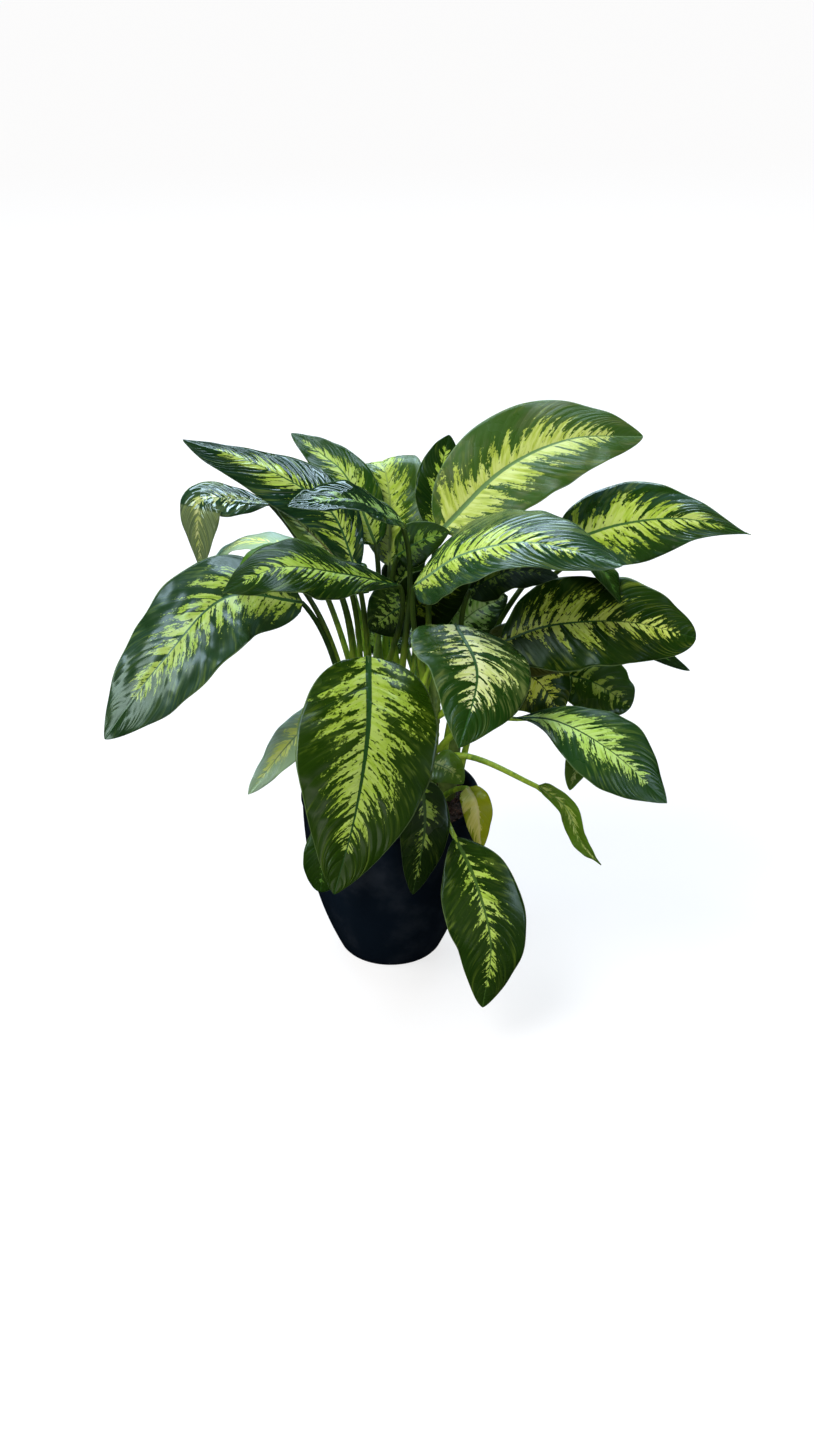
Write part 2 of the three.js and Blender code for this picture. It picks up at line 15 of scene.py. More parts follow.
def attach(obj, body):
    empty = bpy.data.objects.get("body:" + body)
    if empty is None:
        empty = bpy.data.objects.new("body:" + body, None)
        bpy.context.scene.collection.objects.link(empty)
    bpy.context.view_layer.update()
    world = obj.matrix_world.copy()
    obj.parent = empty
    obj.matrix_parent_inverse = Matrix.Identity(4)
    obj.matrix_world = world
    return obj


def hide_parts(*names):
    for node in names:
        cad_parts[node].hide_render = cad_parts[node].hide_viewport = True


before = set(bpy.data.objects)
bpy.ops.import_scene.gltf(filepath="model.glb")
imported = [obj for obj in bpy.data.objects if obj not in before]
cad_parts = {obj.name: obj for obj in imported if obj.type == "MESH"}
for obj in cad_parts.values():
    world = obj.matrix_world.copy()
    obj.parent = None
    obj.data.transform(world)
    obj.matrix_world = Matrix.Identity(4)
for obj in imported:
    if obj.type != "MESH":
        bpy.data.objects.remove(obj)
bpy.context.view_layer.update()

METRES = 0.001
BODY = "root"

# Pot and soil
POT_HEIGHT = 200
POT_RIM_RADIUS = 100
POT_FOOT_RADIUS = 58
POT_BELLY = 2.3
POT_WALL = 3.5
POT_FLOOR = 5
POT_LIP = 1.6
POT_LIP_ROUND = (2.2, 4.2)  # half the width and half the height of the rolled rim
POT_SIDES = 144
SOIL_TOP = 180
SOIL_GAP = 0.8
SOIL_SECTORS = 180
SOIL_RINGS = 70
CRUMBS = 620
CRUMB_RADIUS = (0.8, 2.6)
CRUMB_SEED = 7

# Canes. Each stands from its foot on the soil to its top.
CANE_DEPTH = 60
CANE_FOOT_RADIUS = 11.5
CANE_TOP_RADIUS = 8.5
CANE_SPACING = 17  # from one ring scar to the next
CANE_RING_RISE = 0.7
CANE_GROOVE_DEPTH = 0.5
CANE_SPEAR = 46  # the rolled new leaf on top
CANE_ROWS = 150
CANE_SIDES = 28
CANES = {
    "left": ((-34, 0), (-20, 0, 325)),
    "front": ((0, -40), (6, -46, 320)),
    "right": ((40, -12), (48, -18, 330)),
    "back_right": ((28, 34), (34, 40, 345)),
    "side": ((64, 24), (80, 28, 335)),
    "back": ((-20, 38), (-14, 44, 340)),
}

# Leaf blades
BLADE_THICKNESS = 0.8
EDGE_THICKNESS = 0.35
BLADE_ROW = 1.7  # spacing of the blade's rows of faces along the midrib
BLADE_COLUMN = 3.2  # and across it
VEIN_LEAN = 0.95  # how far towards the tip the last side veins reach on their way to the edge
BASE_LEAN = 0.2  # and the share of that at the blade's base
PILLOW_HEIGHT = 0.34  # how far the blade swells between its side veins
SWELL_HEIGHT = 1.2  # and in slower waves across several of them
SWELL_LENGTH = 26
SWELL_WIDTH = 40
PUCKER_HEIGHT = 0.4  # and in small uneven bulges
PUCKER_LENGTH = 13
VEIN_JITTER = 5  # how far the side veins stray from even spacing
BLADE_DISH = 0.16  # how far the halves of the blade curve back, as a share of their width

# Stalks
STALK_FOOT_RADIUS = 4.2
STALK_RADIUS = 2.7
STALK_END_RADIUS = 0.5
STALK_SIDES = 14
STALK_STEPS = 22
STALK_BEND = 0.6
STALK_SINK = 0.8
STALK_ROOT_SINK = 3
STALK_ROOT_DROP = 6
MIDRIB_STEPS = 18
MIDRIB_END = 0.9  # how far along the blade the stalk is raised as its midrib
FIT_GAP = 0.35

# Each leaf has its look, the cane that it grows from and at which height, its blade's width and the
# points of its midrib. fold is how far its halves are folded up, wave is the height of its edge's
# waves, faces is the way that its upper face looks, and tip_faces and tip_fold are the same at its
# tip. widest is where along the blade it is widest, base and taper are how its outline narrows to both
# ends, wobble is how far that strays from a smooth curve, and rib_shift how far the midrib lies off
# the middle.
USUAL_LEAF = dict(
    fold=8, wave=2, widest=0.36, base=0.65, taper=0.72, wobble=0.018, rib_shift=0.0, dark_stalk=False,
)


def leaf_of(look, cane, faces, **own):
    """A leaf's row. What it doesn't give is as in most leaves, and its tip is held as its base is."""
    row = {**USUAL_LEAF, "look": look, "cane": cane, "faces": faces, "tip_faces": faces, **own}
    return {"tip_fold": row["fold"], **row}


LEAVES = {
    "front_broad": leaf_of(
        "broad", "front", at=292, width=146, fold=6, faces=(0.05, -1, 0.6), taper=0.78,
        rib=[(-21, -95, 415), (-21, -160, 360), (-34, -200, 285), (-56, -230, 208)],
    ),
    "left_long": leaf_of(
        "long_left", "left", at=257, width=122, fold=6, wave=3, faces=(-0.35, -0.7, 0.75), widest=0.46,
        dark_stalk=True,
        rib=[(-92, -16, 441), (-171, -54, 463), (-238, -92, 405), (-300, -110, 325)],
    ),
    "left_folded": leaf_of(
        "folded", "back", at=262, width=60, fold=4, wave=1, faces=(-0.1, -0.3, 1),
        tip_faces=(-0.7, -0.75, 0.15), tip_fold=4, widest=0.5, taper=0.9,
        rib=[(-133, 112, 506), (-168, 98, 515), (-200, 82, 522), (-210, 72, 508), (-209, 64, 442)],
    ),
    "upper_left": leaf_of(
        "teal", "back", at=300, width=64, fold=6, faces=(0.1, -0.9, 0.5), tip_faces=(-0.2, -0.3, 1),
        tip_fold=-22, widest=0.45,
        rib=[(-35, 0, 470), (-65, 25, 532), (-140, 65, 566), (-225, 95, 585)],
    ),
    "top_left": leaf_of(
        "lime", "back", at=318, width=56, faces=(0.1, -0.8, 0.6),
        rib=[(-15, 50, 480), (-45, 90, 540), (-75, 118, 560), (-110, 145, 575)],
    ),
    "back_centre": leaf_of(
        "yellow_lime", "back", at=332, width=86, faces=(0, -0.7, 0.7), widest=0.5,
        rib=[(0, 60, 450), (0, 95, 515), (-8, 125, 548), (-12, 175, 520)],
    ),
    "centre_narrow": leaf_of(
        "dark_sheen", "front", at=316, width=76, fold=14, faces=(0, -0.2, 1),
        rib=[(15, -25, 535), (-40, -55, 572), (-100, -95, 580)],
    ),
    "back_pointed": leaf_of(
        "dark_lime", "back_right", at=338, width=52, fold=10, faces=(-0.1, -0.9, 0.4), widest=0.5,
        rib=[(50, 50, 490), (54, 75, 545), (65, 105, 587)],
    ),
    "low_left": leaf_of(
        "dark_lime", "left", at=316, width=82, fold=6, wave=3, faces=(0, -0.45, 0.9), widest=0.56,
        base=1, taper=0.95,
        rib=[(13, -32, 467), (-48, -63, 494), (-110, -99, 516), (-167, -124, 499)],
    ),
    "top_right": leaf_of(
        "top", "back_right", at=322, width=122, fold=16, faces=(-0.1, -0.65, 0.75), widest=0.42,
        rib=[(55, 15, 510), (122, 45, 568), (195, 70, 594), (275, 90, 590)],
    ),
    "centre_right": leaf_of(
        "glossy", "right", at=326, width=114, fold=-5, faces=(0, -0.36, 0.93), rib_shift=0.35,
        rib=[(25, -45, 472), (73, -75, 531), (141, -118, 563), (231, -150, 539)],
    ),
    "right_drooping": leaf_of(
        "plain_dark", "side", at=304, width=50, fold=10, wave=1, faces=(0.5, -0.2, 0.8),
        rib=[(186, -17, 485), (219, -56, 497), (239, -86, 471)],
    ),
    "far_right": leaf_of(
        "far", "side", at=324, width=92, fold=6, wave=3, faces=(0, -0.8, 0.6), taper=1.35,
        rib=[(185, 38, 485), (250, 40, 508), (320, 38, 515), (390, 30, 500)],
    ),
    "right_broad": leaf_of(
        "shaded_lime", "right", at=311, width=104, fold=6, wave=4, faces=(0, -0.75, 0.65), widest=0.42,
        taper=0.48, wobble=0.05,
        rib=[(119, -35, 402), (172, -60, 434), (248, -85, 449), (319, -90, 433)],
    ),
    "right_under": leaf_of(
        "plain_dark", "side", at=286, width=50, faces=(0, -0.5, 1),
        rib=[(123, 35, 360), (187, 5, 374), (259, -25, 397), (323, -42, 372)],
    ),
    "low_right_inner": leaf_of(
        "bright_striped", "side", at=213, width=84, fold=6, wave=3, faces=(0.1, -0.8, 0.6),
        rib=[(133, -33, 372), (161, -48, 361), (186, -56, 327)],
    ),
    "low_right": leaf_of(
        "pale", "right", at=268, width=86, fold=6, faces=(0.2, -0.7, 0.8), widest=0.58, base=1.5,
        taper=0.9,
        rib=[(126, -70, 330), (177, -98, 340), (234, -130, 320), (292, -150, 270)],
    ),
    "low_right_back": leaf_of(
        "short_striped", "side", at=270, width=76, fold=6, wave=3, faces=(0.2, -0.7, 0.7), widest=0.5,
        taper=0.5, wobble=0.06,
        rib=[(185, 0, 350), (227, -22, 346), (262, -38, 325)],
    ),
    "front_right": leaf_of(
        "streaked", "front", at=276, width=132, fold=6, faces=(0.5, -0.6, 1), widest=0.3, taper=0.88,
        rib=[(70, -70, 440), (90, -150, 420), (70, -235, 381)],
    ),
    "hanging_right": leaf_of(
        "sparse", "right", at=206, width=86, fold=4, faces=(0.1, -1, 0.5), widest=0.42, base=0.95,
        rib=[(70, -135, 220), (92, -170, 185), (108, -200, 125), (100, -215, 55)],
    ),
    "yellowing": leaf_of(
        "yellowing", "right", at=192, width=34, fold=10, wave=1, faces=(0.2, -1, 0.5),
        rib=[(85, -62, 240), (95, -88, 230), (100, -98, 180)],
    ),
    "small_right": leaf_of(
        "curled", "front", at=230, width=40, wave=1, faces=(0, -0.8, 0.6),
        rib=[(45, -60, 270), (65, -78, 270), (80, -90, 260)],
    ),
    "rim_front": leaf_of(
        "sparse", "front", at=246, width=54, wave=1, faces=(0.1, -1, 0.4),
        rib=[(35, -100, 270), (38, -128, 225), (25, -140, 150)],
    ),
    "rim_left": leaf_of(
        "plain_dark", "left", at=210, width=46, wave=1, faces=(-0.2, -1, 0.4), widest=0.6, taper=0.5,
        rib=[(-60, -95, 240), (-70, -125, 195), (-75, -135, 150)],
    ),
    "low_left_back": leaf_of(
        "milky", "left", at=220, width=44, faces=(-0.3, -0.7, 0.7),
        rib=[(-65, -25, 325), (-108, -50, 290), (-155, -70, 235)],
    ),
    "curled": leaf_of(
        "curled", "right", at=251, width=26, fold=45, faces=(0.4, -0.6, 0.7),
        tip_faces=(-0.7, -0.7, 0.1), tip_fold=20,
        rib=[(160, -95, 260), (190, -108, 240), (206, -116, 205), (230, -120, 175)],
    ),
    "hanging_tip": leaf_of(
        "curled", "side", at=256, width=30, fold=10, wave=1, faces=(0.3, -1, 0.4), widest=0.6,
        rib=[(212, -25, 326), (209, -42, 275), (199, -52, 230)],
    ),
    "arching_left": leaf_of(
        "milky", "back", at=238, width=46, fold=4, faces=(-0.1, -0.1, 1),
        rib=[(-65, 42, 456), (-115, 56, 476), (-165, 66, 477), (-208, 76, 441)],
    ),
    "behind_left": leaf_of(
        "washed", "left", at=276, width=56, faces=(0, 0, 1),
        rib=[(-110, 14, 466), (-170, 21, 468), (-235, 27, 451)],
    ),
    "shaded_right": leaf_of(
        "shadowed", "side", at=312, width=66, faces=(0, -0.4, 1),
        rib=[(85, -15, 455), (130, -28, 482), (178, -40, 480)],
    ),
    "inner_right": leaf_of(
        "striped_grey", "side", at=290, width=76, faces=(0, -0.8, 0.6),
        rib=[(62, 35, 373), (93, 28, 410), (129, 20, 432)],
    ),
    "inner_centre": leaf_of(
        "dim", "back_right", at=250, width=50, wave=1, faces=(0, -0.7, 0.7),
        rib=[(7, 20, 479), (33, 12, 500), (64, 5, 514)],
    ),
    "inner_left": leaf_of(
        "brownish", "back", at=208, width=36, wave=1, faces=(0, -0.4, 1),
        rib=[(-50, 20, 470), (-90, 45, 500), (-125, 62, 525)],
    ),
    "inner_low": leaf_of(
        "fine_flecked", "front", at=239, width=64, wave=1, faces=(0, -1, 0.45),
        rib=[(20, 15, 424), (4, 4, 421), (-22, -8, 405)],
    ),
    "inner_lime": leaf_of(
        "fine_flecked", "back_right", at=239, width=46, wave=1, faces=(0, -1, 0.4),
        rib=[(2, 63, 421), (17, 71, 442), (38, 80, 464)],
    ),
    "inner_dark": leaf_of(
        "shadowed", "right", at=299, width=72, wave=1, faces=(0, -1, 0.3),
        rib=[(16, 34, 400), (42, 33, 421), (86, 33, 443)],
    ),
    "right_inner": leaf_of(
        "brown_patched", "right", at=228, width=62, faces=(0.1, -0.8, 0.6),
        rib=[(102, -13, 392), (149, -31, 390), (204, -41, 381)],
    ),
    "left_inner": leaf_of(
        "plain", "left", at=304, width=44, fold=12, wave=1, faces=(-0.3, -0.1, 1),
        rib=[(-60, 0, 465), (-105, -12, 495), (-140, -24, 500), (-160, -35, 480)],
    ),
    "rear_left": leaf_of(
        "lime", "back", at=280, width=86, fold=10, wave=3, faces=(0, 0.7, 1),
        rib=[(-40, 110, 395), (-75, 180, 412), (-110, 250, 375)],
    ),
    "rear_middle": leaf_of(
        "broad", "back", at=262, width=92, wave=3, faces=(0, 0.7, 1),
        rib=[(-6, 100, 322), (6, 165, 345), (18, 235, 318)],
    ),
    "rear_right": leaf_of(
        "lime", "back_right", at=298, width=88, fold=10, wave=3, faces=(0.1, 0.7, 1),
        rib=[(85, 110, 400), (135, 175, 415), (180, 240, 375)],
    ),
    "rear_low_left": leaf_of(
        "shaded_lime", "back", at=214, width=60, faces=(-0.2, 0.8, 0.8),
        rib=[(-30, 110, 275), (-40, 155, 270), (-52, 200, 220)],
    ),
    "rear_low_right": leaf_of(
        "lime", "back_right", at=222, width=66, faces=(0.2, 0.8, 0.8),
        rib=[(60, 115, 290), (90, 165, 290), (120, 215, 235)],
    ),
}

# Each look has the colours of the margin, the feathered centre and the midrib, and how the centre is
# drawn. reach is its width as a share of the blade's, bias is how much more of it lies on the left
# side, end is where along the blade it stops, lobes and fingers break up its border, and flecks are
# the dark spots in it. The blush colour tints patches of the margin, partly with the leaf's own colour
# and partly with a painted bluish sheen, and past turn the blade has its colour. gloss is the shine,
# dullness is how rough the skin is, relief is how deep its finest lines are, ripple is how high the
# blade swells between its veins, pitch spreads those, and crumple is how uneven the blade is.
USUAL_LOOK = dict(
    rib_width=2.5, end=0.9, bias=0.0, turn=2.0, lobes=0.6, fingers=1.2, flecks=1.2, gloss=0.45,
    dullness=0.24, relief=0.5, ripple=1.0, pitch=1.0, crumple=1.0,
)


def look_of(green, **own):
    """A look's row. What it doesn't give is as in most looks."""
    return {**USUAL_LOOK, "green": green, "blush": green, **own}


LOOKS = {
    "broad": look_of(
        green=(0.011, 0.034, 0.0008), lime=(0.29, 0.43, 0.035), pale=(0.37, 0.5, 0.1),
        rib=(0.014, 0.055, 0.008), rib_width=6.5, reach=0.76, end=0.83, lobes=0.45, fingers=1.25,
        flecks=1.5, gloss=0.55, dullness=0.2, relief=0.3, ripple=2.2, pitch=1.6,
    ),
    "streaked": look_of(
        green=(0.012, 0.045, 0.004), lime=(0.6, 0.7, 0.2), pale=(0.72, 0.78, 0.4),
        rib=(0.03, 0.1, 0.02), rib_width=5, reach=0.66, end=0.74, bias=-0.25, lobes=0.5, fingers=2.1,
        flecks=1.5, gloss=0.3, relief=0.35, ripple=1.6, pitch=1.3,
    ),
    "top": look_of(
        green=(0.036, 0.088, 0.012), lime=(0.4, 0.5, 0.065), pale=(0.55, 0.64, 0.19),
        rib=(0.13, 0.24, 0.08), blush=(0.09, 0.12, 0.045), rib_width=6, reach=0.8, end=0.88, lobes=0.5,
        fingers=0.9, flecks=0.7, gloss=0.3, relief=0.3, ripple=0.9,
    ),
    "lime": look_of(
        green=(0.011, 0.046, 0.004), lime=(0.35, 0.5, 0.06), pale=(0.44, 0.58, 0.16),
        rib=(0.06, 0.15, 0.04), rib_width=3.5, reach=0.8, end=0.92, lobes=0.45, fingers=0.9, gloss=0.4,
        dullness=0.12, ripple=1.5,
    ),
    "teal": look_of(
        green=(0.005, 0.024, 0.009), lime=(0.32, 0.47, 0.05), pale=(0.42, 0.55, 0.14),
        rib=(0.03, 0.09, 0.03), blush=(0.01, 0.04, 0.03), reach=0.64, end=0.86, lobes=0.7, fingers=1.4,
        flecks=1.3, gloss=0.55, dullness=0.04, relief=0, ripple=3.4, pitch=1.6, crumple=2.2,
    ),
    "washed": look_of(
        green=(0.075, 0.15, 0.075), lime=(0.52, 0.6, 0.22), pale=(0.62, 0.68, 0.36),
        rib=(0.1, 0.2, 0.06), blush=(0.13, 0.24, 0.2), reach=0.6, gloss=0.9, dullness=0.16, ripple=2.2,
        pitch=1.4,
    ),
    # Partly painted light: pale greens brightened for leaves that lie in shade, with a bluish blush as
    # painted sheen.
    "milky": look_of(
        green=(0.34, 0.52, 0.29), lime=(0.72, 0.85, 0.16), pale=(0.8, 0.9, 0.3), rib=(0.2, 0.34, 0.12),
        blush=(0.4, 0.56, 0.48), reach=0.6, gloss=0.9, ripple=1.8,
    ),
    # Painted shade: a near-black look for leaves deep in the plant's shade.
    "shadowed": look_of(
        green=(0.002, 0.008, 0.0006), lime=(0.07, 0.11, 0.008), pale=(0.1, 0.14, 0.012),
        rib=(0.01, 0.03, 0.004), reach=0.5, lobes=0.8, fingers=1.8, flecks=1.8, gloss=0.02,
        dullness=0.45,
    ),
    "far": look_of(
        green=(0.0115, 0.045, 0.005), lime=(0.4, 0.57, 0.05), pale=(0.54, 0.68, 0.16),
        rib=(0.06, 0.15, 0.04), blush=(0.035, 0.085, 0.075), rib_width=3.5, reach=0.84, end=0.88,
        lobes=0.5, fingers=1.1, flecks=1.3, gloss=1.0, dullness=0.11, relief=0.3, ripple=2.4,
    ),
    # Its bluish blush is a painted teal sheen.
    "long_left": look_of(
        green=(0.011, 0.036, 0.011), lime=(0.29, 0.44, 0.045), pale=(0.38, 0.5, 0.12),
        rib=(0.03, 0.09, 0.025), blush=(0.03, 0.07, 0.045), rib_width=4, reach=0.66, end=0.82,
        lobes=0.55, fingers=1.0, gloss=0.5, dullness=0.2, relief=0.06, ripple=0.5, pitch=1.3,
        crumple=2.6,
    ),
    "yellow_lime": look_of(
        green=(0.0336, 0.09, 0.0063), lime=(0.37, 0.53, 0.04), pale=(0.47, 0.61, 0.12),
        rib=(0.28, 0.4, 0.08), blush=(0.2, 0.3, 0.24), rib_width=3.5, reach=0.8, end=0.97, lobes=0.3,
        fingers=0.8, flecks=1.7, gloss=0.8, ripple=2,
    ),
    "fine_flecked": look_of(
        green=(0.005, 0.02, 0.0015), lime=(0.2, 0.34, 0.04), pale=(0.27, 0.4, 0.07),
        rib=(0.02, 0.07, 0.012), reach=0.7, end=0.95, lobes=0.3, fingers=0.9, flecks=2.2, gloss=0.2,
    ),
    "folded": look_of(
        green=(0.014, 0.045, 0.02), lime=(0.38, 0.47, 0.1), pale=(0.58, 0.62, 0.28),
        rib=(0.2, 0.28, 0.1), blush=(0.2, 0.27, 0.12), rib_width=1.5, reach=0.32, end=0.99, fingers=1.7,
        turn=0.56, gloss=0.9, dullness=0.05, relief=0.04, ripple=2.8, pitch=1.5,
    ),
    # Partly the leaf's own dark green and partly painted shade, for a leaf among the inner leaves.
    "dim": look_of(
        green=(0.006, 0.022, 0.0015), lime=(0.1, 0.19, 0.02), pale=(0.14, 0.24, 0.03),
        rib=(0.02, 0.08, 0.01), rib_width=2, reach=0.7, end=0.95, lobes=0.5, fingers=1.5, flecks=1.8,
        gloss=0.05,
    ),
    "striped_grey": look_of(
        green=(0.007, 0.03, 0.003), lime=(0.16, 0.32, 0.05), pale=(0.32, 0.46, 0.18),
        rib=(0.08, 0.15, 0.03), reach=0.95, end=0.98, lobes=0.4, fingers=1.9, flecks=1.6, gloss=0.2,
    ),
    "bright_striped": look_of(
        green=(0.012, 0.04, 0.002), lime=(0.6, 0.7, 0.05), pale=(0.72, 0.8, 0.14),
        rib=(0.012, 0.045, 0.006), rib_width=2, reach=0.72, end=0.95, lobes=0.7, fingers=1.8,
        flecks=1.4, gloss=0.1,
    ),
    "brown_patched": look_of(
        green=(0.0504, 0.06, 0.0081), lime=(0.36, 0.36, 0.07), pale=(0.46, 0.45, 0.14),
        rib=(0.1, 0.14, 0.02), rib_width=2, reach=0.6, end=0.6, lobes=0.5, flecks=2.0, gloss=0.25,
    ),
    "short_striped": look_of(
        green=(0.0224, 0.065, 0.0027), lime=(0.3, 0.42, 0.04), pale=(0.4, 0.5, 0.08),
        rib=(0.03, 0.09, 0.01), rib_width=3, reach=0.5, end=0.98, lobes=0.9, fingers=2.4, flecks=1.6,
    ),
    "shaded_lime": look_of(
        green=(0.007, 0.028, 0.0015), lime=(0.45, 0.58, 0.055), pale=(0.64, 0.74, 0.16),
        rib=(0.03, 0.09, 0.015), rib_width=3, reach=0.74, end=0.93, lobes=0.75, fingers=1.5, flecks=1.6,
        gloss=0.2, ripple=1.3,
    ),
    "dark_lime": look_of(
        green=(0.006, 0.025, 0.003), lime=(0.3, 0.47, 0.04), pale=(0.38, 0.53, 0.09),
        rib=(0.015, 0.055, 0.01), rib_width=3, reach=0.64, lobes=0.65, flecks=1.3, gloss=0.2,
        dullness=0.18, ripple=1.3,
    ),
    "glossy": look_of(
        green=(0.012, 0.045, 0.012), lime=(0.38, 0.54, 0.05), pale=(0.56, 0.7, 0.16),
        rib=(0.14, 0.26, 0.12), blush=(0.03, 0.07, 0.045), rib_width=4, reach=0.6, end=0.84, bias=-0.12,
        lobes=0.65, fingers=1.3, flecks=1.0, gloss=0.8, dullness=0.14, relief=0.25, ripple=1.9,
        pitch=1.25,
    ),
    "dark_sheen": look_of(
        green=(0.005, 0.022, 0.009), lime=(0.22, 0.38, 0.08), pale=(0.3, 0.45, 0.14),
        rib=(0.03, 0.09, 0.03), reach=0.34, end=0.82, fingers=1.4, flecks=1.0, gloss=0.7, dullness=0.05,
        relief=0, ripple=3, pitch=1.6, crumple=2.4,
    ),
    "pale": look_of(
        green=(0.0105, 0.044, 0.008), lime=(0.4, 0.62, 0.1), pale=(0.5, 0.72, 0.22),
        rib=(0.02, 0.08, 0.02), reach=0.76, end=0.86, lobes=0.4, fingers=1.0, flecks=1.0, gloss=0.38,
        relief=0.3, ripple=1.3, pitch=1.25,
    ),
    "sparse": look_of(
        green=(0.01, 0.033, 0.002), lime=(0.36, 0.54, 0.05), pale=(0.46, 0.62, 0.12),
        rib=(0.06, 0.13, 0.02), rib_width=4, reach=0.27, end=0.88, bias=-0.45, lobes=0.9, fingers=1.9,
        flecks=1.0, relief=0.3, pitch=1.3,
    ),
    "plain_dark": look_of(
        green=(0.007, 0.028, 0.0015), lime=(0.08, 0.2, 0.02), pale=(0.11, 0.24, 0.03),
        rib=(0.03, 0.09, 0.012), reach=0.1, lobes=0.8, flecks=0.6, gloss=0.25,
    ),
    "plain": look_of(
        green=(0.056, 0.15, 0.0063), lime=(0.22, 0.37, 0.04), pale=(0.3, 0.43, 0.08),
        rib=(0.09, 0.22, 0.03), reach=0.2, fingers=1.0, flecks=0.6,
    ),
    "brownish": look_of(
        green=(0.05, 0.1, 0.012), lime=(0.42, 0.54, 0.06), pale=(0.5, 0.6, 0.14),
        rib=(0.18, 0.14, 0.025), reach=0.6, end=0.95, lobes=0.4, fingers=0.8, flecks=1.6,
    ),
    "curled": look_of(
        green=(0.0896, 0.19, 0.009), lime=(0.38, 0.5, 0.08), pale=(0.52, 0.6, 0.2),
        rib=(0.12, 0.25, 0.04), rib_width=2, reach=0.5, end=0.95, fingers=1.0, flecks=0.9,
    ),
    "yellowing": look_of(
        green=(0.34, 0.39, 0.004), lime=(0.7, 0.66, 0.12), pale=(0.8, 0.74, 0.22),
        rib=(0.8, 0.74, 0.26), rib_width=4.5, reach=0.8, end=1.3, bias=0.9, lobes=0.5, fingers=0.6,
        flecks=0.4,
    ),
}


# Node helpers
def feed(tree, socket, value):
    """Set a socket, or link it where the value is another node's."""
    if isinstance(value, Signal):
        tree.links.new(value.socket, socket)
    elif isinstance(value, bpy.types.NodeSocket):
        tree.links.new(value, socket)
    else:
        socket.default_value = value


def add(tree, kind, inputs=None, **settings):
    """A new node with its settings and with each named input set or linked."""
    node = tree.nodes.new(kind)
    for key, value in settings.items():
        setattr(node, key, value)
    for key, value in (inputs or {}).items():
        feed(tree, node.inputs[key], value)
    return node


class Signal:
    """A number that varies over a surface. Arithmetic on it adds Math nodes."""

    def __init__(self, tree, socket):
        self.tree = tree
        self.socket = socket

    def math(self, operation, other=0.0, clamp=False):
        inputs = {0: self, 1: other}
        node = add(self.tree, "ShaderNodeMath", inputs, operation=operation, use_clamp=clamp)
        return Signal(self.tree, node.outputs[0])

    def __add__(self, other):
        return self.math("ADD", other)

    def __sub__(self, other):
        return self.math("SUBTRACT", other)

    def __rsub__(self, other):
        return self * -1.0 + other

    def __mul__(self, other):
        return self.math("MULTIPLY", other)

    def __pow__(self, other):
        return self.math("POWER", other)

    def __abs__(self):
        return self.math("ABSOLUTE")

    def step(self, low, high, to_low=0.0, to_high=1.0):
        """This signal turned smoothly from low..high into to_low..to_high."""
        inputs = {"Value": self, "From Min": low, "From Max": high, "To Min": to_low, "To Max": to_high}
        node = add(self.tree, "ShaderNodeMapRange", inputs, interpolation_type="SMOOTHSTEP")
        return Signal(self.tree, node.outputs["Result"])


def mixed(tree, factor, a, b):
    """Two colours mixed by a factor."""
    return add(tree, "ShaderNodeMix", {0: factor, 6: a, 7: b}, data_type="RGBA").outputs[2]


def noise_of(tree, vector, scale=1.0, detail=2.0, roughness=0.5):
    """A noise signal on a vector."""
    inputs = {"Vector": vector, "Scale": scale, "Detail": detail, "Roughness": roughness}
    return Signal(tree, add(tree, "ShaderNodeTexNoise", inputs).outputs["Fac"])


def noise_at(tree, x, y, z=0.0, detail=1.0, roughness=0.5):
    """A noise signal at three coordinates."""
    spot = add(tree, "ShaderNodeCombineXYZ", {0: x, 1: y, 2: z}).outputs[0]
    return noise_of(tree, spot, detail=detail, roughness=roughness)


def attribute(tree, name):
    """The three numbers of a mesh's own attribute."""
    vector = add(tree, "ShaderNodeAttribute", attribute_name=name).outputs["Vector"]
    return [Signal(tree, part) for part in add(tree, "ShaderNodeSeparateXYZ", {0: vector}).outputs]


def object_spot(tree):
    return add(tree, "ShaderNodeTexCoord").outputs["Object"]


def rgba(colour):
    return (*colour, 1.0)


def new_group(name, numbers, colours, outputs):
    """An empty shader group, with its inputs as signals and its outputs by name."""
    group = bpy.data.node_groups.new(name, "ShaderNodeTree")
    for label in numbers:
        group.interface.new_socket(name=label, in_out="INPUT", socket_type="NodeSocketFloat")
    for label in colours:
        group.interface.new_socket(name=label, in_out="INPUT", socket_type="NodeSocketColor")
    for label, kind in outputs.items():
        group.interface.new_socket(name=label, in_out="OUTPUT", socket_type=f"NodeSocket{kind}")
    sockets = add(group, "NodeGroupInput").outputs
    given = {label: Signal(group, sockets[label]) for label in numbers}
    given.update({label: sockets[label] for label in colours})
    return group, given, add(group, "NodeGroupOutput").inputs


def placed(tree, group, inputs):
    """A shader group placed in a material, and its outputs by name."""
    return add(tree, "ShaderNodeGroup", inputs, node_tree=group).outputs


DRAWING = ("Reach", "Bias", "End", "Turn", "Lobes", "Fingers", "Flecks", "Rib Width")
MASKS = ("Centre", "Border", "Vein", "Rib", "Mottle", "Edge Highlight", "Grain", "Margin")
BORDER_SOFTNESS = 0.010


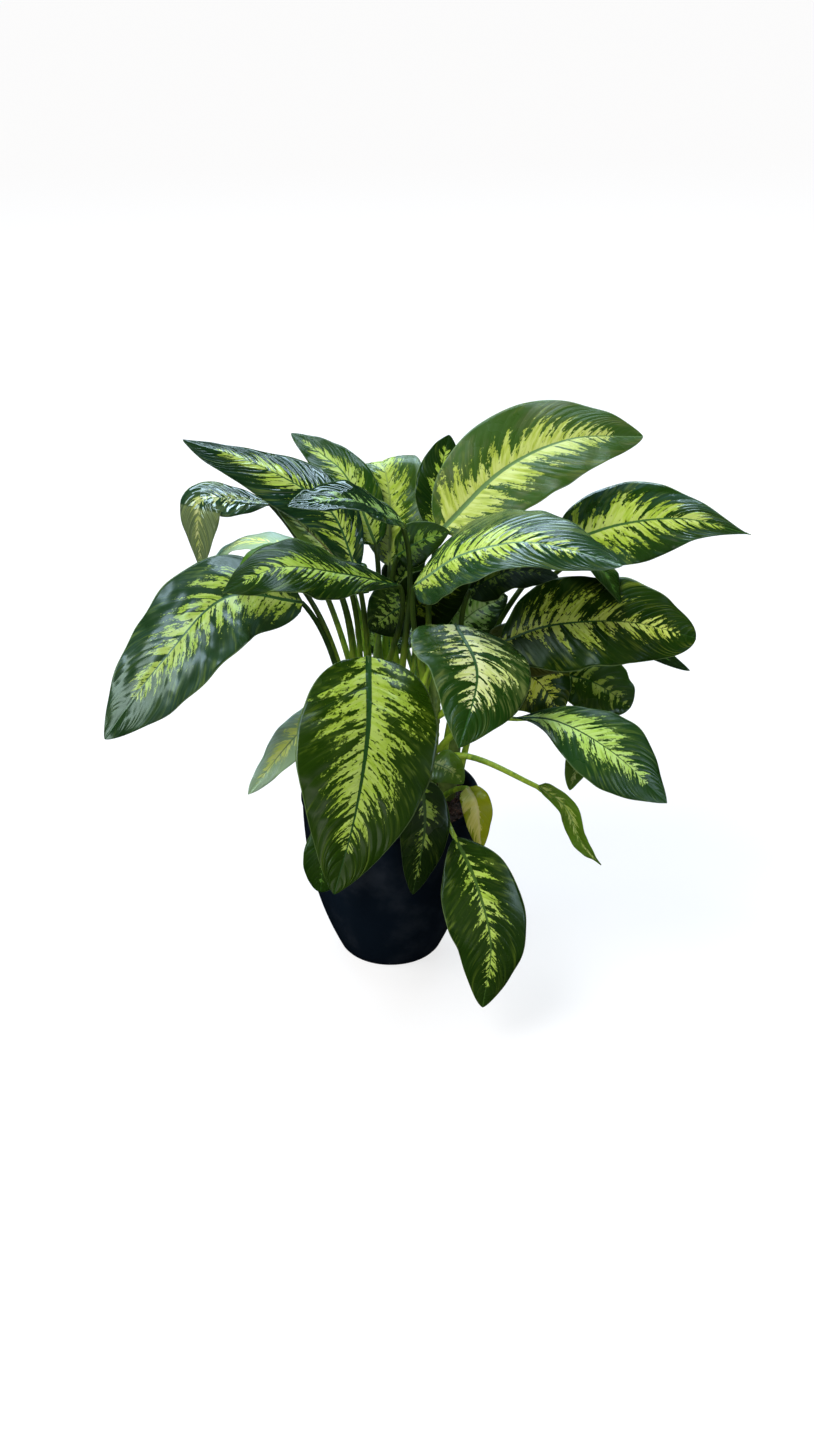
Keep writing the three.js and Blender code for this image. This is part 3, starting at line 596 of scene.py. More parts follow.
def variegation_group():
    """The masks of a blade's centre, border, veins and so on, from its place and vein attributes."""
    outputs = {label: "Float" for label in MASKS}
    tree, given, out = new_group("variegation", DRAWING, (), outputs)
    u, w, passed = attribute(tree, "place")
    v, x, seed = attribute(tree, "vein")
    far = abs(w)
    lane = x.math("SIGN") * 3.7 + seed

    lobes = noise_at(tree, v * 0.07, lane)
    fingers = noise_at(tree, v * 0.19, x * 0.035, lane)
    ragged = noise_at(tree, v * 0.42, x * 0.27, lane, detail=5.0, roughness=0.7)
    flecks = noise_at(tree, v * 0.30, x * 0.15, seed + 5.0, detail=3.0, roughness=0.6)
    mottle = noise_at(tree, v * 0.26, x * 0.06, seed, detail=3.0) + far.step(0.0, 0.45, 0.08, -0.06)

    # The centre narrows towards its end and a little at the base, and gaps run in along the veins.
    left = (given["End"] - u).math("DIVIDE", given["End"], clamp=True)
    bias = x.math("SIGN") * given["Bias"] + 1.0
    reach = given["Reach"] * bias * left**0.45 * u.step(-0.02, 0.12, 0.6, 1.0)
    field = reach * lobes.step(0.36, 0.60, 1.0 - given["Lobes"], 1.0) - far
    field = field - fingers.step(0.50, 0.62) * given["Fingers"] * 0.26
    field = field + (0.5 - fingers) * given["Fingers"] * 0.6 + (ragged - 0.5) * 1.4
    field = field - (u - given["End"]).step(-0.03, 0.05, 0.0, 0.6)
    centre = field.step(-BORDER_SOFTNESS, BORDER_SOFTNESS)

    # Dark flecks lie in the centre and lime ones outside it, fewer the further they are from the border.
    inside = field.math("MAXIMUM", 0.0) * 0.22 - given["Flecks"] * 0.10 + 0.68
    centre = centre * (flecks - inside).step(-BORDER_SOFTNESS, BORDER_SOFTNESS, 1.0, 0.0)
    outside = field.math("MINIMUM", 0.0) * -0.9 - given["Flecks"] * 0.03 + 0.66
    stray = (flecks - outside).step(-BORDER_SOFTNESS, BORDER_SOFTNESS)
    centre = centre.math("MAXIMUM", stray * field.step(-0.02, 0.0, 1.0, 0.0))
    border = abs(field).step(0.0, 0.10, 1.0, 0.0)

    # A side vein lies wherever the count of veins passed is whole.
    off_vein = abs((passed + 0.5).math("FRACT") - 0.5)
    vein = off_vein.step(0.01, 0.06, 1.0, 0.0) * far.step(0.5, 1.0, 1.0, 0.25)
    rib_half = given["Rib Width"] * u.step(0.0, 1.0, 0.5, 0.07)
    rib = (abs(x) - rib_half + (ragged - 0.5) * 1.6).step(-0.3, 0.3, 1.0, 0.0)
    # Painted highlight: a thin pale line along the very edge of the blade.
    edge = far.step(0.97, 0.995)
    grain = noise_at(tree, v * 0.75, x * 0.03, seed, detail=2.0)
    # The margin patches take the blush colour: partly the leaf's own colour and partly a painted bluish
    # sheen.
    patches = noise_at(tree, v * 0.045, x * 0.045, lane, detail=2.0)
    margin = patches.step(0.40, 0.62) * far.step(0.2, 0.8)
    margin = margin.math("MAXIMUM", (u - given["Turn"]).step(-0.01, 0.01))
    for label, value in zip(MASKS, (centre, border, vein, rib, mottle, edge, grain, margin)):
        feed(tree, out[label], value)
    return tree


TONES = {"Green": "green", "Blush And Sheen": "blush", "Lime": "lime", "Pale": "pale", "Rib Colour": "rib"}
SUNLIT_GREEN = (0.11, 0.20, 0.015)
VEIN_GREEN = (0.08, 0.15, 0.015)
# The colour of the painted highlight along the blade's edge.
EDGE_HIGHLIGHT_GREEN = (0.22, 0.33, 0.12)


def blade_colour_group():
    """A blade's colour, roughness and height from its masks and its look's colours."""
    outputs = {"Colour": "Color", "Roughness": "Float", "Height": "Float"}
    tree, given, out = new_group("blade colour", (*MASKS, "Dullness"), TONES, outputs)
    spot = object_spot(tree)
    tone = noise_of(tree, spot, 24.0, 3.0).step(0.36, 0.74)
    fine = noise_of(tree, spot, 900.0, 2.0)
    lighter = mixed(tree, 0.16, given["Green"], rgba(SUNLIT_GREEN))
    green = mixed(tree, tone * 0.4 + given["Grain"].step(0.35, 0.7, 0.0, 0.25), given["Green"], lighter)
    # Painted sheen in part: the blush colour, bluish in the glossy looks, tints patches of the margin.
    tint = mixed(tree, given["Mottle"].step(0.40, 0.62) * 0.3, given["Blush And Sheen"], given["Lime"])
    tint = mixed(tree, given["Grain"].step(0.45, 0.60) * 0.5, tint, given["Green"])
    green = mixed(tree, given["Margin"] * 0.85, green, tint)
    green = mixed(tree, given["Vein"] * 0.14, green, rgba(VEIN_GREEN))
    halo = mixed(tree, 0.30, given["Green"], given["Lime"])
    green = mixed(tree, given["Border"] * 0.35, green, halo)
    lime = mixed(tree, given["Mottle"].step(0.40, 0.66), given["Lime"], given["Pale"])
    shade = mixed(tree, 0.30, given["Lime"], given["Green"])
    lime = mixed(tree, given["Mottle"].step(0.44, 0.32), lime, shade)
    lime = mixed(tree, given["Vein"] * 0.45, lime, given["Pale"])
    both = mixed(tree, given["Centre"], green, lime)
    both = mixed(tree, given["Rib"], both, given["Rib Colour"])
    # Painted highlight along the blade's edge.
    both = mixed(tree, given["Edge Highlight"] * 0.5, both, rgba(EDGE_HIGHLIGHT_GREEN))
    feed(tree, out["Colour"], both)
    feed(tree, out["Roughness"], tone * 0.10 + given["Centre"] * 0.05 + given["Dullness"])
    lines = given["Grain"] * 0.35 - given["Vein"] * 0.5
    feed(tree, out["Height"], lines + fine * 0.04 - given["Centre"] * 0.12)
    return tree


VARIEGATION = variegation_group()
BLADE_COLOUR = blade_colour_group()


def new_material(name):
    """A material with only a Principled shader, and that shader."""
    material = bpy.data.materials.new(name)
    material.use_nodes = True
    tree = material.node_tree
    tree.nodes.clear()
    shader = add(tree, "ShaderNodeBsdfPrincipled")
    add(tree, "ShaderNodeOutputMaterial", {"Surface": shader.outputs[0]})
    return material, tree, shader.inputs


def add_bump(tree, shader, height, strength, distance):
    """Fine relief on a material. distance is in metres."""
    bump = add(tree, "ShaderNodeBump", {"Height": height, "Strength": strength, "Distance": distance})
    feed(tree, shader["Normal"], bump.outputs[0])


UNDERSIDE_GREY = Vector((0.12, 0.20, 0.07))
UNDERSIDE_DULLNESS = 0.45
UNDERSIDE_GLOSS = 0.25
BLADE_GRAIN = 0.0006  # in metres, as every bump's distance is
STALK_GRAIN = 0.0005
# Painted shade: stalks and canes turn to a darker colour high up among the leaves, between these heights.
STALK_SHADE = (0.34, 0.42)  # heights between which the stalks turn dark among the leaves
STALK_PAINTED_SHADE_GREEN = (0.014, 0.042, 0.003)
POT_GRAIN = 0.0003
POT_BLACK = (0.006, 0.012, 0.022)
POT_DUST = (0.034, 0.042, 0.055)
SOIL_GRAIN = 0.002


def blade_material(name, look, under):
    """A blade's upper face or underside in one look. The underside is duller and greyer."""
    material, tree, shader = new_material(name)
    marks = placed(tree, VARIEGATION, {label: look[label.lower().replace(" ", "_")] for label in DRAWING})
    dull = UNDERSIDE_DULLNESS if under else 0.0
    tones = {label: rgba(Vector(look[key]).lerp(UNDERSIDE_GREY, dull)) for label, key in TONES.items()}
    masks = {label: marks[label] for label in MASKS}
    colours = placed(tree, BLADE_COLOUR, {**masks, **tones, "Dullness": look["dullness"]})
    feed(tree, shader["Base Color"], colours["Colour"])
    feed(tree, shader["Roughness"], colours["Roughness"])
    add_bump(tree, shader, colours["Height"], look["relief"], BLADE_GRAIN)
    shader["Specular IOR Level"].default_value = UNDERSIDE_GLOSS if under else look["gloss"]
    return material


def stalk_material(name, light, dark, shaded):
    """A smooth stalk with long darker streaks, and painted shade that darkens it high up among the
    leaves.
    """
    material, tree, shader = new_material(name)
    spot = object_spot(tree)
    squeezed = add(tree, "ShaderNodeMapping", {"Vector": spot, "Scale": (1.0, 1.0, 0.22)}).outputs[0]
    streaks = noise_of(tree, squeezed, 240.0, 3.0)
    share = streaks.step(0.40, 0.62) * noise_of(tree, spot, 30.0).step(0.35, 0.65, 0.3, 1.0)
    height = Signal(tree, add(tree, "ShaderNodeSeparateXYZ", {0: spot}).outputs["Z"])
    streaked = mixed(tree, share, rgba(light), rgba(dark))
    # Painted shade: the stalk is mixed towards its shaded colour high up among the leaves.
    shade = height.step(*STALK_SHADE, 0.0, 0.93)
    feed(tree, shader["Base Color"], mixed(tree, shade, streaked, rgba(shaded)))
    add_bump(tree, shader, streaks, 0.3, STALK_GRAIN)
    shader["Roughness"].default_value = 0.38
    return material


def pot_material():
    """Near-black moulded plastic with a faint bloom of dust and a few dry smudges."""
    material, tree, shader = new_material("pot plastic")
    spot = object_spot(tree)
    broad = noise_of(tree, spot, 14.0, 5.0, 0.62)
    dust = broad.step(0.48, 0.74) * 0.7
    feed(tree, shader["Base Color"], mixed(tree, dust, rgba(POT_BLACK), rgba(POT_DUST)))
    feed(tree, shader["Roughness"], broad.step(0.3, 0.8, 0.40, 0.60))
    shader["Specular IOR Level"].default_value = 0.08
    add_bump(tree, shader, noise_of(tree, spot, 420.0, 3.0), 0.25, POT_GRAIN)
    return material


def soil_material(name, dark, light, scale):
    """Damp, crumbly potting mix."""
    material, tree, shader = new_material(name)
    spot = object_spot(tree)
    grains = add(tree, "ShaderNodeTexVoronoi", {"Vector": spot, "Scale": scale})
    broad = noise_of(tree, spot, 90.0, 6.0, 0.7)
    parts = add(tree, "ShaderNodeSeparateColor", {0: grains.outputs["Color"]}).outputs
    pick = Signal(tree, parts["Red"])
    share = broad.step(0.35, 0.7) * pick.step(0.2, 1.0)
    feed(tree, shader["Base Color"], mixed(tree, share, rgba(dark), rgba(light)))
    add_bump(tree, shader, broad, 0.9, SOIL_GRAIN)
    shader["Roughness"].default_value = 0.9
    return material


# Mesh helpers
def set_out(name, data):
    """A new object in the scene."""
    obj = bpy.data.objects.new(name, data)
    bpy.context.scene.collection.objects.link(obj)
    return obj


def mesh_of(bm, name, materials):
    """The bmesh as a finished mesh."""
    mesh = bpy.data.meshes.new(name)
    bm.to_mesh(mesh)
    bm.free()
    for material in materials:
        mesh.materials.append(material)
    return mesh


def finish_piece(bm, name, materials, slot, *replaced):
    """The bmesh as a smooth piece in metres, riding on the plant's one body."""
    bmesh.ops.scale(bm, vec=(METRES,) * 3, verts=bm.verts)
    mesh = mesh_of(bm, name, materials)
    mesh.shade_smooth()
    piece = set_out(name, mesh)
    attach(piece, BODY)
    if replaced:
        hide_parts(*replaced)
    return piece


def lerp(a, b, share):
    return a + (b - a) * share


def bell(x, width):
    """A smooth hump that is 1 at 0 and low past its width."""
    return math.exp(-((x / width) ** 2))


def tube(bm, points, radius_at, sides, side, material_index=0):
    """A closed tube through points. radius_at gives its radius at a share of its length and a turn."""
    last = len(points) - 1
    tangents = [(points[min(i + 1, last)] - points[max(i - 1, 0)]).normalized() for i in range(last + 1)]
    spokes = []
    spoke = Vector(side)
    for tangent in tangents:
        spoke = (spoke - tangent * spoke.dot(tangent)).normalized()
        spokes.append(spoke)
    made = bmesh.ops.create_grid(bm, x_segments=last, y_segments=sides, size=0.5)["verts"]
    for v in made:
        i = round((v.co.x + 0.5) * last)
        turn = -2 * math.pi * (v.co.y + 0.5)
        radius = radius_at(i / last, turn)
        other = tangents[i].cross(spokes[i])
        v.co = points[i] + spokes[i] * (radius * math.cos(turn)) + other * (radius * math.sin(turn))
    bmesh.ops.remove_doubles(bm, verts=made, dist=1e-4)
    made = [v for v in made if v.is_valid]
    ends = dict.fromkeys(e for v in made for e in v.link_edges if e.is_boundary)
    bmesh.ops.holes_fill(bm, edges=list(ends), sides=sides)
    for v in made:
        for face in v.link_faces:
            face.material_index = material_index


# Leaves
class Rib:
    """A leaf's midrib: a smooth curve through its points, read by share of its length."""

    STEPS = 200

    def __init__(self, points):
        self.points = [Vector(p) for p in points]
        self.places = [self.curve(i / self.STEPS) for i in range(self.STEPS + 1)]
        self.reached = [0.0]
        for a, b in zip(self.places, self.places[1:]):
            self.reached.append(self.reached[-1] + (b - a).length)
        self.length = self.reached[-1]

    def curve(self, t):
        last = len(self.points) - 1
        i = min(int(t * last), last - 1)
        f = t * last - i
        b, c = self.points[i], self.points[i + 1]
        a = self.points[i - 1] if i > 0 else b * 2 - c
        d = self.points[i + 2] if i + 2 <= last else c * 2 - b
        m, n = (c - a) * 0.5, (d - b) * 0.5
        return b + m * f + (3 * (c - b) - 2 * m - n) * f**2 + (2 * (b - c) + m + n) * f**3

    def at(self, u):
        """The point and the direction at a share u of the length."""
        want = min(max(u, 0.0), 1.0) * self.length
        low, high = 0, self.STEPS
        while high - low > 1:
            middle = (low + high) // 2
            low, high = (middle, high) if self.reached[middle] <= want else (low, middle)
        span = self.reached[high] - self.reached[low]
        share = (want - self.reached[low]) / span
        a, b = self.places[low], self.places[high]
        before, after = self.places[max(low - 1, 0)], self.places[min(high + 1, self.STEPS)]
        along = (b - before).lerp(after - a, share).normalized()
        return a.lerp(b, share), along


def outline_share(leaf, u):
    """Half the blade's width as a share of its widest."""
    widest = leaf["widest"]
    hump = math.sin(math.pi * u ** (math.log(0.5) / math.log(widest)))
    return max(hump, 0.0) ** (leaf["base"] if u < widest else leaf["taper"])


def blade_frame(leaf, rib, u):
    """The point of the midrib at u, with the directions along, across and out of the upper face."""
    point, along = rib.at(u)
    looks = Vector(leaf["faces"]).lerp(Vector(leaf["tip_faces"]), u)
    out = (looks - along * looks.dot(along)).normalized()
    return point, along, along.cross(out), out


def blade_point(leaf, rib, index, u, w):
    """A point of the blade's middle surface, w from -1 at one edge to 1 at the other."""
    point, _, across, out = blade_frame(leaf, rib, u)
    half = max(leaf["width"] / 2 * outline_share(leaf, u), 0.4)
    half *= 1 + leaf["wobble"] * noise.noise(Vector((7 * u, 3 if w < 0 else 0, 5 * index))) * 2
    fold = math.radians(lerp(leaf["fold"], leaf["tip_fold"], u))
    side = 0.6 if w < 0 else 0.0
    far = abs(w)
    ripple = leaf["wave"] * far**3 * math.sin(2 * math.pi * (2.3 * u + 0.38 * index + side))
    ripple += 0.35 * leaf["wave"] * far**4 * math.sin(2 * math.pi * (5.9 * u + 0.61 * index + side))
    cup = far * math.sin(fold) - BLADE_DISH * w * w
    rise = half * cup + ripple * min(1.0, 4 * half / leaf["width"])
    return point + across * (half * w * math.cos(fold)) + out * rise, out, half


def vein_pitch(leaf):
    """The spacing of the side veins, in millimetres."""
    return (4.0 + leaf["width"] * 0.045) * LOOKS[leaf["look"]]["pitch"]


def vein_reach(start, far):
    """How far along the blade the side vein from start has come where it is far from the midrib."""
    rise = min(max((start - 0.15) / 0.75, 0.0), 1.0)
    early = 1 - (1 - min(1.0, start / 0.2)) ** 2
    lean = BASE_LEAN * early + (1 - BASE_LEAN) * rise * rise * (3 - 2 * rise)
    return start + VEIN_LEAN * lean * (1 - start) * (0.7 * far + 0.3 * far * far)


def blade_relief(leaf, rib, index, start, u, w, half):
    """How far the upper face stands out at one spot, and how many side veins lie before it."""
    look = LOOKS[leaf["look"]]
    far = abs(w)
    off_rib = far * half
    row = start * rib.length
    along = u * rib.length
    side = 11 * index + (5 if w < 0 else 0)
    passed = (row + VEIN_JITTER * noise.noise(Vector((row / 22, side, 0.5)))) / vein_pitch(leaf)
    swell = look["ripple"] * PILLOW_HEIGHT * (abs(math.sin(math.pi * passed)) ** 0.8 - 0.5)
    swell *= 1 + 1.4 * noise.noise(Vector((row / 30, off_rib / 22, side)))
    slow = noise.noise(Vector((along / SWELL_LENGTH, off_rib / SWELL_WIDTH, side + 2.5)))
    quick = noise.noise(Vector((along, off_rib, 3 * side)) / PUCKER_LENGTH)
    swell += look["crumple"] * SWELL_HEIGHT * slow + look["crumple"] * PUCKER_HEIGHT * quick
    return swell * min(1.0, off_rib / 9) * (1 - far**5) * min(1.0, half / 18), passed


def blade(bm, leaf, rib, index):
    """The blade: a grid whose rows lie along the side veins, with an underside and a rim."""
    rows = round(rib.length / BLADE_ROW)
    columns = 2 * max(8, round(leaf["width"] / 2 / BLADE_COLUMN))
    place = bm.verts.layers.float_vector.new("place")
    vein = bm.verts.layers.float_vector.new("vein")
    top = bmesh.ops.create_grid(bm, x_segments=rows, y_segments=columns, size=0.5)["verts"]
    for v in top:
        start, w = min(max(v.co.x + 0.5, 0.0), 1.0), -2 * v.co.y
        shift = leaf["rib_shift"] * math.sin(math.pi * start) ** 0.7
        u = vein_reach(start, abs(w))
        point, out, half = blade_point(leaf, rib, index, u, w + shift * (1 - w * w))
        swell, passed = blade_relief(leaf, rib, index, start, u, w, half)
        groove = lerp(0.8, 0.2, u) * bell(w * half, lerp(2.6, 1.0, u))
        v.co = point + out * (BLADE_THICKNESS / 2 + swell - groove)
        v[place] = Vector((u, w, passed))
        v[vein] = Vector((start * rib.length, w * half, 1.7 * index))
    bm.normal_update()
    copy = bmesh.ops.duplicate(bm, geom=bm.faces[:])
    twin = copy["vert_map"]
    for v in top:
        twin[v].co = v.co - v.normal * lerp(BLADE_THICKNESS, EDGE_THICKNESS, abs(v[place].y) ** 3)
    under = [f for f in copy["geom"] if isinstance(f, bmesh.types.BMFace)]
    bmesh.ops.reverse_faces(bm, faces=under)
    for face in under:
        face.material_index = 1
    bmesh.ops.bridge_loops(bm, edges=[e for e in bm.edges if e.is_boundary])


def cane_point(cane, z):
    foot, top = CANES[cane]
    share = (z - SOIL_TOP) / (top[2] - SOIL_TOP)
    return Vector((lerp(foot[0], top[0], share), lerp(foot[1], top[1], share), z))


def cane_radius(cane, z):
    share = min(max((z - SOIL_TOP) / (CANES[cane][1][2] - SOIL_TOP), 0.0), 1.0)
    return lerp(CANE_FOOT_RADIUS, CANE_TOP_RADIUS, share)


def stalk_path(leaf, rib):
    """The stalk's points, from inside its cane to the blade and on under it as the midrib."""
    base_point, along, _, out = blade_frame(leaf, rib, 0.0)
    base = base_point - out * (STALK_SINK * STALK_RADIUS)
    heart = cane_point(leaf["cane"], leaf["at"])
    outward = base - heart
    outward.z = 0
    outward.normalize()
    reach = cane_radius(leaf["cane"], leaf["at"])
    foot = heart + outward * (reach + STALK_FOOT_RADIUS + FIT_GAP)
    root = heart + outward * (reach - STALK_ROOT_SINK) - Vector((0, 0, STALK_ROOT_DROP))
    span = (base - foot).length
    ahead = (base - foot).normalized()
    leaving = (Vector((0, 0, 1)) + ahead).normalized()
    arriving = (along * STALK_BEND + ahead).normalized()
    first, second = foot + leaving * (0.35 * span), base - arriving * (0.3 * span)
    points = [root, root.lerp(foot, 0.55)]
    for i in range(STALK_STEPS + 1):
        t = i / STALK_STEPS
        s = 1 - t
        points.append(foot * s**3 + first * (3 * s * s * t) + second * (3 * s * t * t) + base * t**3)
    start = len(points)
    for i in range(1, MIDRIB_STEPS + 1):
        share = i / MIDRIB_STEPS
        u = MIDRIB_END * share
        point, _, _, out = blade_frame(leaf, rib, u)
        radius = lerp(STALK_RADIUS, STALK_END_RADIUS, share**0.7)
        points.append(point - out * (STALK_SINK * radius + lerp(1.3, 0.6, u) * min(1.0, u / 0.05)))
    side = Vector((-outward.y, outward.x, 0))
    return points, start, side


def stalk(bm, leaf, rib):
    """The stalk as a tube, with the low wings of its sheath near the foot."""
    points, start, side = stalk_path(leaf, rib)
    last = len(points) - 1

    def radius_at(share, turn):
        i = share * last
        if i <= start - 1:
            up = max(i - 2, 0) / (start - 3)
            wing = max(0.0, 1 - up * 2.2) * bell(abs(math.sin(turn / 2 + 0.6)) - 0.75, 0.12)
            return lerp(STALK_FOOT_RADIUS, STALK_RADIUS, up**0.6) * (1 + 0.22 * wing)
        under = (i - start + 1) / (last - start + 1)
        return lerp(STALK_RADIUS, STALK_END_RADIUS, under**0.7)

    tube(bm, points, radius_at, STALK_SIDES, side, material_index=2)


BLADE_FINISHES = {}


def leaf_materials(name, stalks):
    """A leaf's three finishes: upper face, underside and stalk. Those of a look are made once."""
    if name not in BLADE_FINISHES:
        BLADE_FINISHES[name] = (
            blade_material(f"{name} blade", LOOKS[name], under=False),
            blade_material(f"{name} underside", LOOKS[name], under=True),
        )
    return [*BLADE_FINISHES[name], stalks]


def build_leaf(name, leaf, index, stalks):
    rib = Rib(leaf["rib"])
    bm = bmesh.new()
    blade(bm, leaf, rib, index)
    stalk(bm, leaf, rib)
    slot = "leaf_yellowing" if name == "yellowing" else "leaf"
    return finish_piece(bm, f"{name}_leaf", leaf_materials(leaf["look"], stalks), slot, f"leaf_{name}")


# Canes
def build_cane(name, material):
    """A cane with a ring scar at each joint and the rolled new leaf on top."""
    root_z = SOIL_TOP - CANE_DEPTH
    root, head = cane_point(name, root_z), Vector(CANES[name][1])
    axis = (head - root).normalized()
    length = (head - root).length
    points = [root + axis * ((length + CANE_SPEAR) * i / CANE_ROWS) for i in range(CANE_ROWS + 1)]

    def radius_at(share, turn):
        along = share * (length + CANE_SPEAR)
        if along > length:
            up = (along - length) / CANE_SPEAR
            return CANE_TOP_RADIUS * (0.8 - 0.8 * up) * (1 + 0.08 * math.sin(turn + 3 * up)) + 0.15
        near = abs((along % CANE_SPACING) - CANE_SPACING / 2)
        radius = cane_radius(name, root_z + along) * 0.96
        radius += CANE_RING_RISE * bell(near, 2.2) - CANE_GROOVE_DEPTH * bell(near - 3.2, 0.9)
        return radius * (1 - 0.2 * max(0.0, 1 - (length - along) / 6))

    bm = bmesh.new()
    tube(bm, points, radius_at, CANE_SIDES, (1, 0, 0))
    return finish_piece(bm, f"{name}_cane", [material], "cane", f"cane_{name}")


# Pot
def pot_radius(z):
    share = 1 - z / POT_HEIGHT
    return POT_FOOT_RADIUS + (POT_RIM_RADIUS - POT_FOOT_RADIUS) * (1 - share**POT_BELLY)


def spun(profile, steps):
    """A profile of (radius, height) points spun about the upright axis."""
    bm = bmesh.new()
    verts = [bm.verts.new((r, 0, z)) for r, z in profile]
    edges = [bm.edges.new(pair) for pair in zip(verts, verts[1:])]
    axle = dict(cent=(0, 0, 0), axis=(0, 0, 1), angle=2 * math.pi)
    bmesh.ops.spin(bm, geom=verts + edges, steps=steps, use_merge=True, **axle)
    bmesh.ops.remove_doubles(bm, verts=bm.verts, dist=1e-3)
    bmesh.ops.recalc_face_normals(bm, faces=bm.faces)
    return bm


def pot_profile():
    """The pot's section, from the middle of its foot out, up, over the rim and down the inside."""
    foot = [(0, 0), (POT_FOOT_RADIUS - 3, 0), (POT_FOOT_RADIUS - 0.5, 0.6)]
    outer = [(pot_radius(z), z) for z in range(3, 190, 6)]
    across, up = POT_LIP_ROUND
    lip = []
    for degrees in range(-70, 91, 20):
        turn = math.radians(degrees)
        radius = POT_RIM_RADIUS + POT_LIP - across + across * math.cos(turn)
        lip.append((radius, POT_HEIGHT - up + up * math.sin(turn)))
    inner = [(pot_radius(z) - POT_WALL, z) for z in range(196, POT_FLOOR, -8)]
    floor = [(POT_FOOT_RADIUS - POT_WALL, POT_FLOOR), (0, POT_FLOOR)]
    return foot + outer + lip + inner + floor


def build_pot():
    bm = spun(pot_profile(), POT_SIDES)
    finish_piece(bm, "round_pot", [pot_material()], "pot_plastic", "pot")


# Soil
def soil_height(x, y):
    broad = 1.6 * math.sin(x / 11 + 1) * math.cos(y / 13) + 1.1 * math.sin((x + 2 * y) / 9)
    fine = noise.turbulence(Vector((x, y, 0)) / 7, 4, False) * 2.2
    return SOIL_TOP + broad * 0.8 + fine - 1.2


def inner_radius(z):
    """The soil's radius at a height in the pot."""
    return pot_radius(z) - POT_WALL - SOIL_GAP


def build_soil():
    edge = inner_radius(SOIL_TOP)
    side = [(inner_radius(z), z) for z in (8, 20, 40, 60, 90, 120, 150, 172)]
    top = [(edge * (1 - i / SOIL_RINGS), SOIL_TOP) for i in range(SOIL_RINGS + 1)]
    bm = spun([(0, POT_FLOOR + 1), *side, *top], SOIL_SECTORS)
    for v in bm.verts:
        if v.co.z > SOIL_TOP - 1:
            v.co.z = soil_height(v.co.x, v.co.y)
    mix = soil_material("potting mix", (0.030, 0.013, 0.010), (0.24, 0.11, 0.08), 500.0)
    finish_piece(bm, "soil_bed", [mix], "potting_soil", "soil")
    build_crumbs(edge - 3)


def build_crumbs(reach):
    """Bits of bark strewn over the soil, out to a radius."""
    draw = random.Random(CRUMB_SEED)
    noise.seed_set(CRUMB_SEED)  # noise_vector goes by the clock without it
    bm = bmesh.new()
    for _ in range(CRUMBS):
        turn, far = draw.uniform(0, 2 * math.pi), reach * math.sqrt(draw.random())
        x, y = far * math.cos(turn), far * math.sin(turn)
        size = draw.uniform(*CRUMB_RADIUS)
        crumb = bmesh.ops.create_icosphere(bm, subdivisions=1, radius=size)["verts"]
        stretch = Vector((draw.uniform(0.7, 1.9), draw.uniform(0.6, 1.1), draw.uniform(0.4, 0.9)))
        spin = Quaternion((0, 0, 1), draw.uniform(0, math.pi))
        tip = Quaternion((1, 0, 0), draw.uniform(-0.5, 0.5))
        middle = Vector((x, y, soil_height(x, y) + 0.3 * size))
        for v in crumb:
            jitter = noise.noise_vector(v.co + Vector((x, y, size))) * 0.35 * size
            v.co = spin @ tip @ ((v.co + jitter) * stretch) + middle
    bark = soil_material("bark crumbs", (0.045, 0.02, 0.015), (0.30, 0.145, 0.11), 260.0)
    finish_piece(bm, "soil_crumbs", [bark], "potting_soil")


# Studio
def look_at(obj, target):
    obj.rotation_euler = (Vector(target) - obj.location).to_track_quat("-Z", "Y").to_euler()


def area_light(name, place, size, power, colour, lights=True, shines=True):
    """A soft panel aimed at the plant. One that only lights leaves no glint, and the other way round."""
    data = bpy.data.lights.new(name, "AREA")
    data.shape = "RECTANGLE"
    data.size, data.size_y = size
    data.energy = power
    data.color = colour
    lamp = set_out(name, data)
    lamp.location = place
    lamp.visible_diffuse = lights
    lamp.visible_glossy = shines
    look_at(lamp, (0, 0, 0.45))


# The studio is in metres and watts. Panels light the plant, and windows are only seen in its gloss.
PHOTO_HEIGHT = 1448
CAMERA_FOCAL_PIXELS = 1888
CAMERA_PLACE = (0.019, -1.87, 1.259)
CAMERA_PITCH = 27.5
SKY = (0.62, 0.83, 1.0)
WHITE = rgba((1, 1, 1))
HAZE = rgba((0.86, 0.93, 1.0))
FLOOR_GREY = rgba((0.22, 0.22, 0.23))
FLOOR_REACH = 30
PANELS = {
    "sky panel": ((-0.2, 1.9, 2.5), (3.4, 2.2), 135, SKY),
    "fill panel": ((1.0, -2.6, 1.3), (2.0, 1.6), 18, (1.0, 1.0, 0.98)),
}
WINDOWS = {
    "back window": ((-0.3, 2.0, 1.9), (2.6, 0.4), 22, SKY),
    **{f"roof window {row}": ((0.1, 0.3 + 0.5 * row, 2.7), (1.8, 0.16), 15, SKY) for row in range(3)},
    "left window": ((-1.9, -0.6, 2.3), (0.6, 1.3), 20, SKY),
    "low left window": ((-2.0, -0.65, 1.15), (0.8, 0.9), 15, (0.74, 0.95, 0.88)),
    "right window": ((2.0, -1.35, 1.1), (0.6, 1.2), 13, SKY),
    "front window": ((-0.8, -2.6, 0.6), (1.6, 0.3), 2, (1.0, 1.0, 0.9)),
}


def build_camera():
    data = bpy.data.cameras.new("camera")
    data.sensor_width = 36
    data.lens = data.sensor_width * CAMERA_FOCAL_PIXELS / PHOTO_HEIGHT
    camera = set_out("camera", data)
    camera.location = CAMERA_PLACE
    camera.rotation_euler = (math.radians(90 - CAMERA_PITCH), 0, 0)
    bpy.context.scene.camera = camera


def by_ray(tree, seen, mirrored, otherwise):
    """A strength for the camera, one for what gloss mirrors and one for what lights the plant."""
    rays = add(tree, "ShaderNodeLightPath").outputs
    camera, glossy = Signal(tree, rays["Is Camera Ray"]), Signal(tree, rays["Is Glossy Ray"])
    return camera * (seen - otherwise) + glossy * (mirrored - otherwise) + otherwise


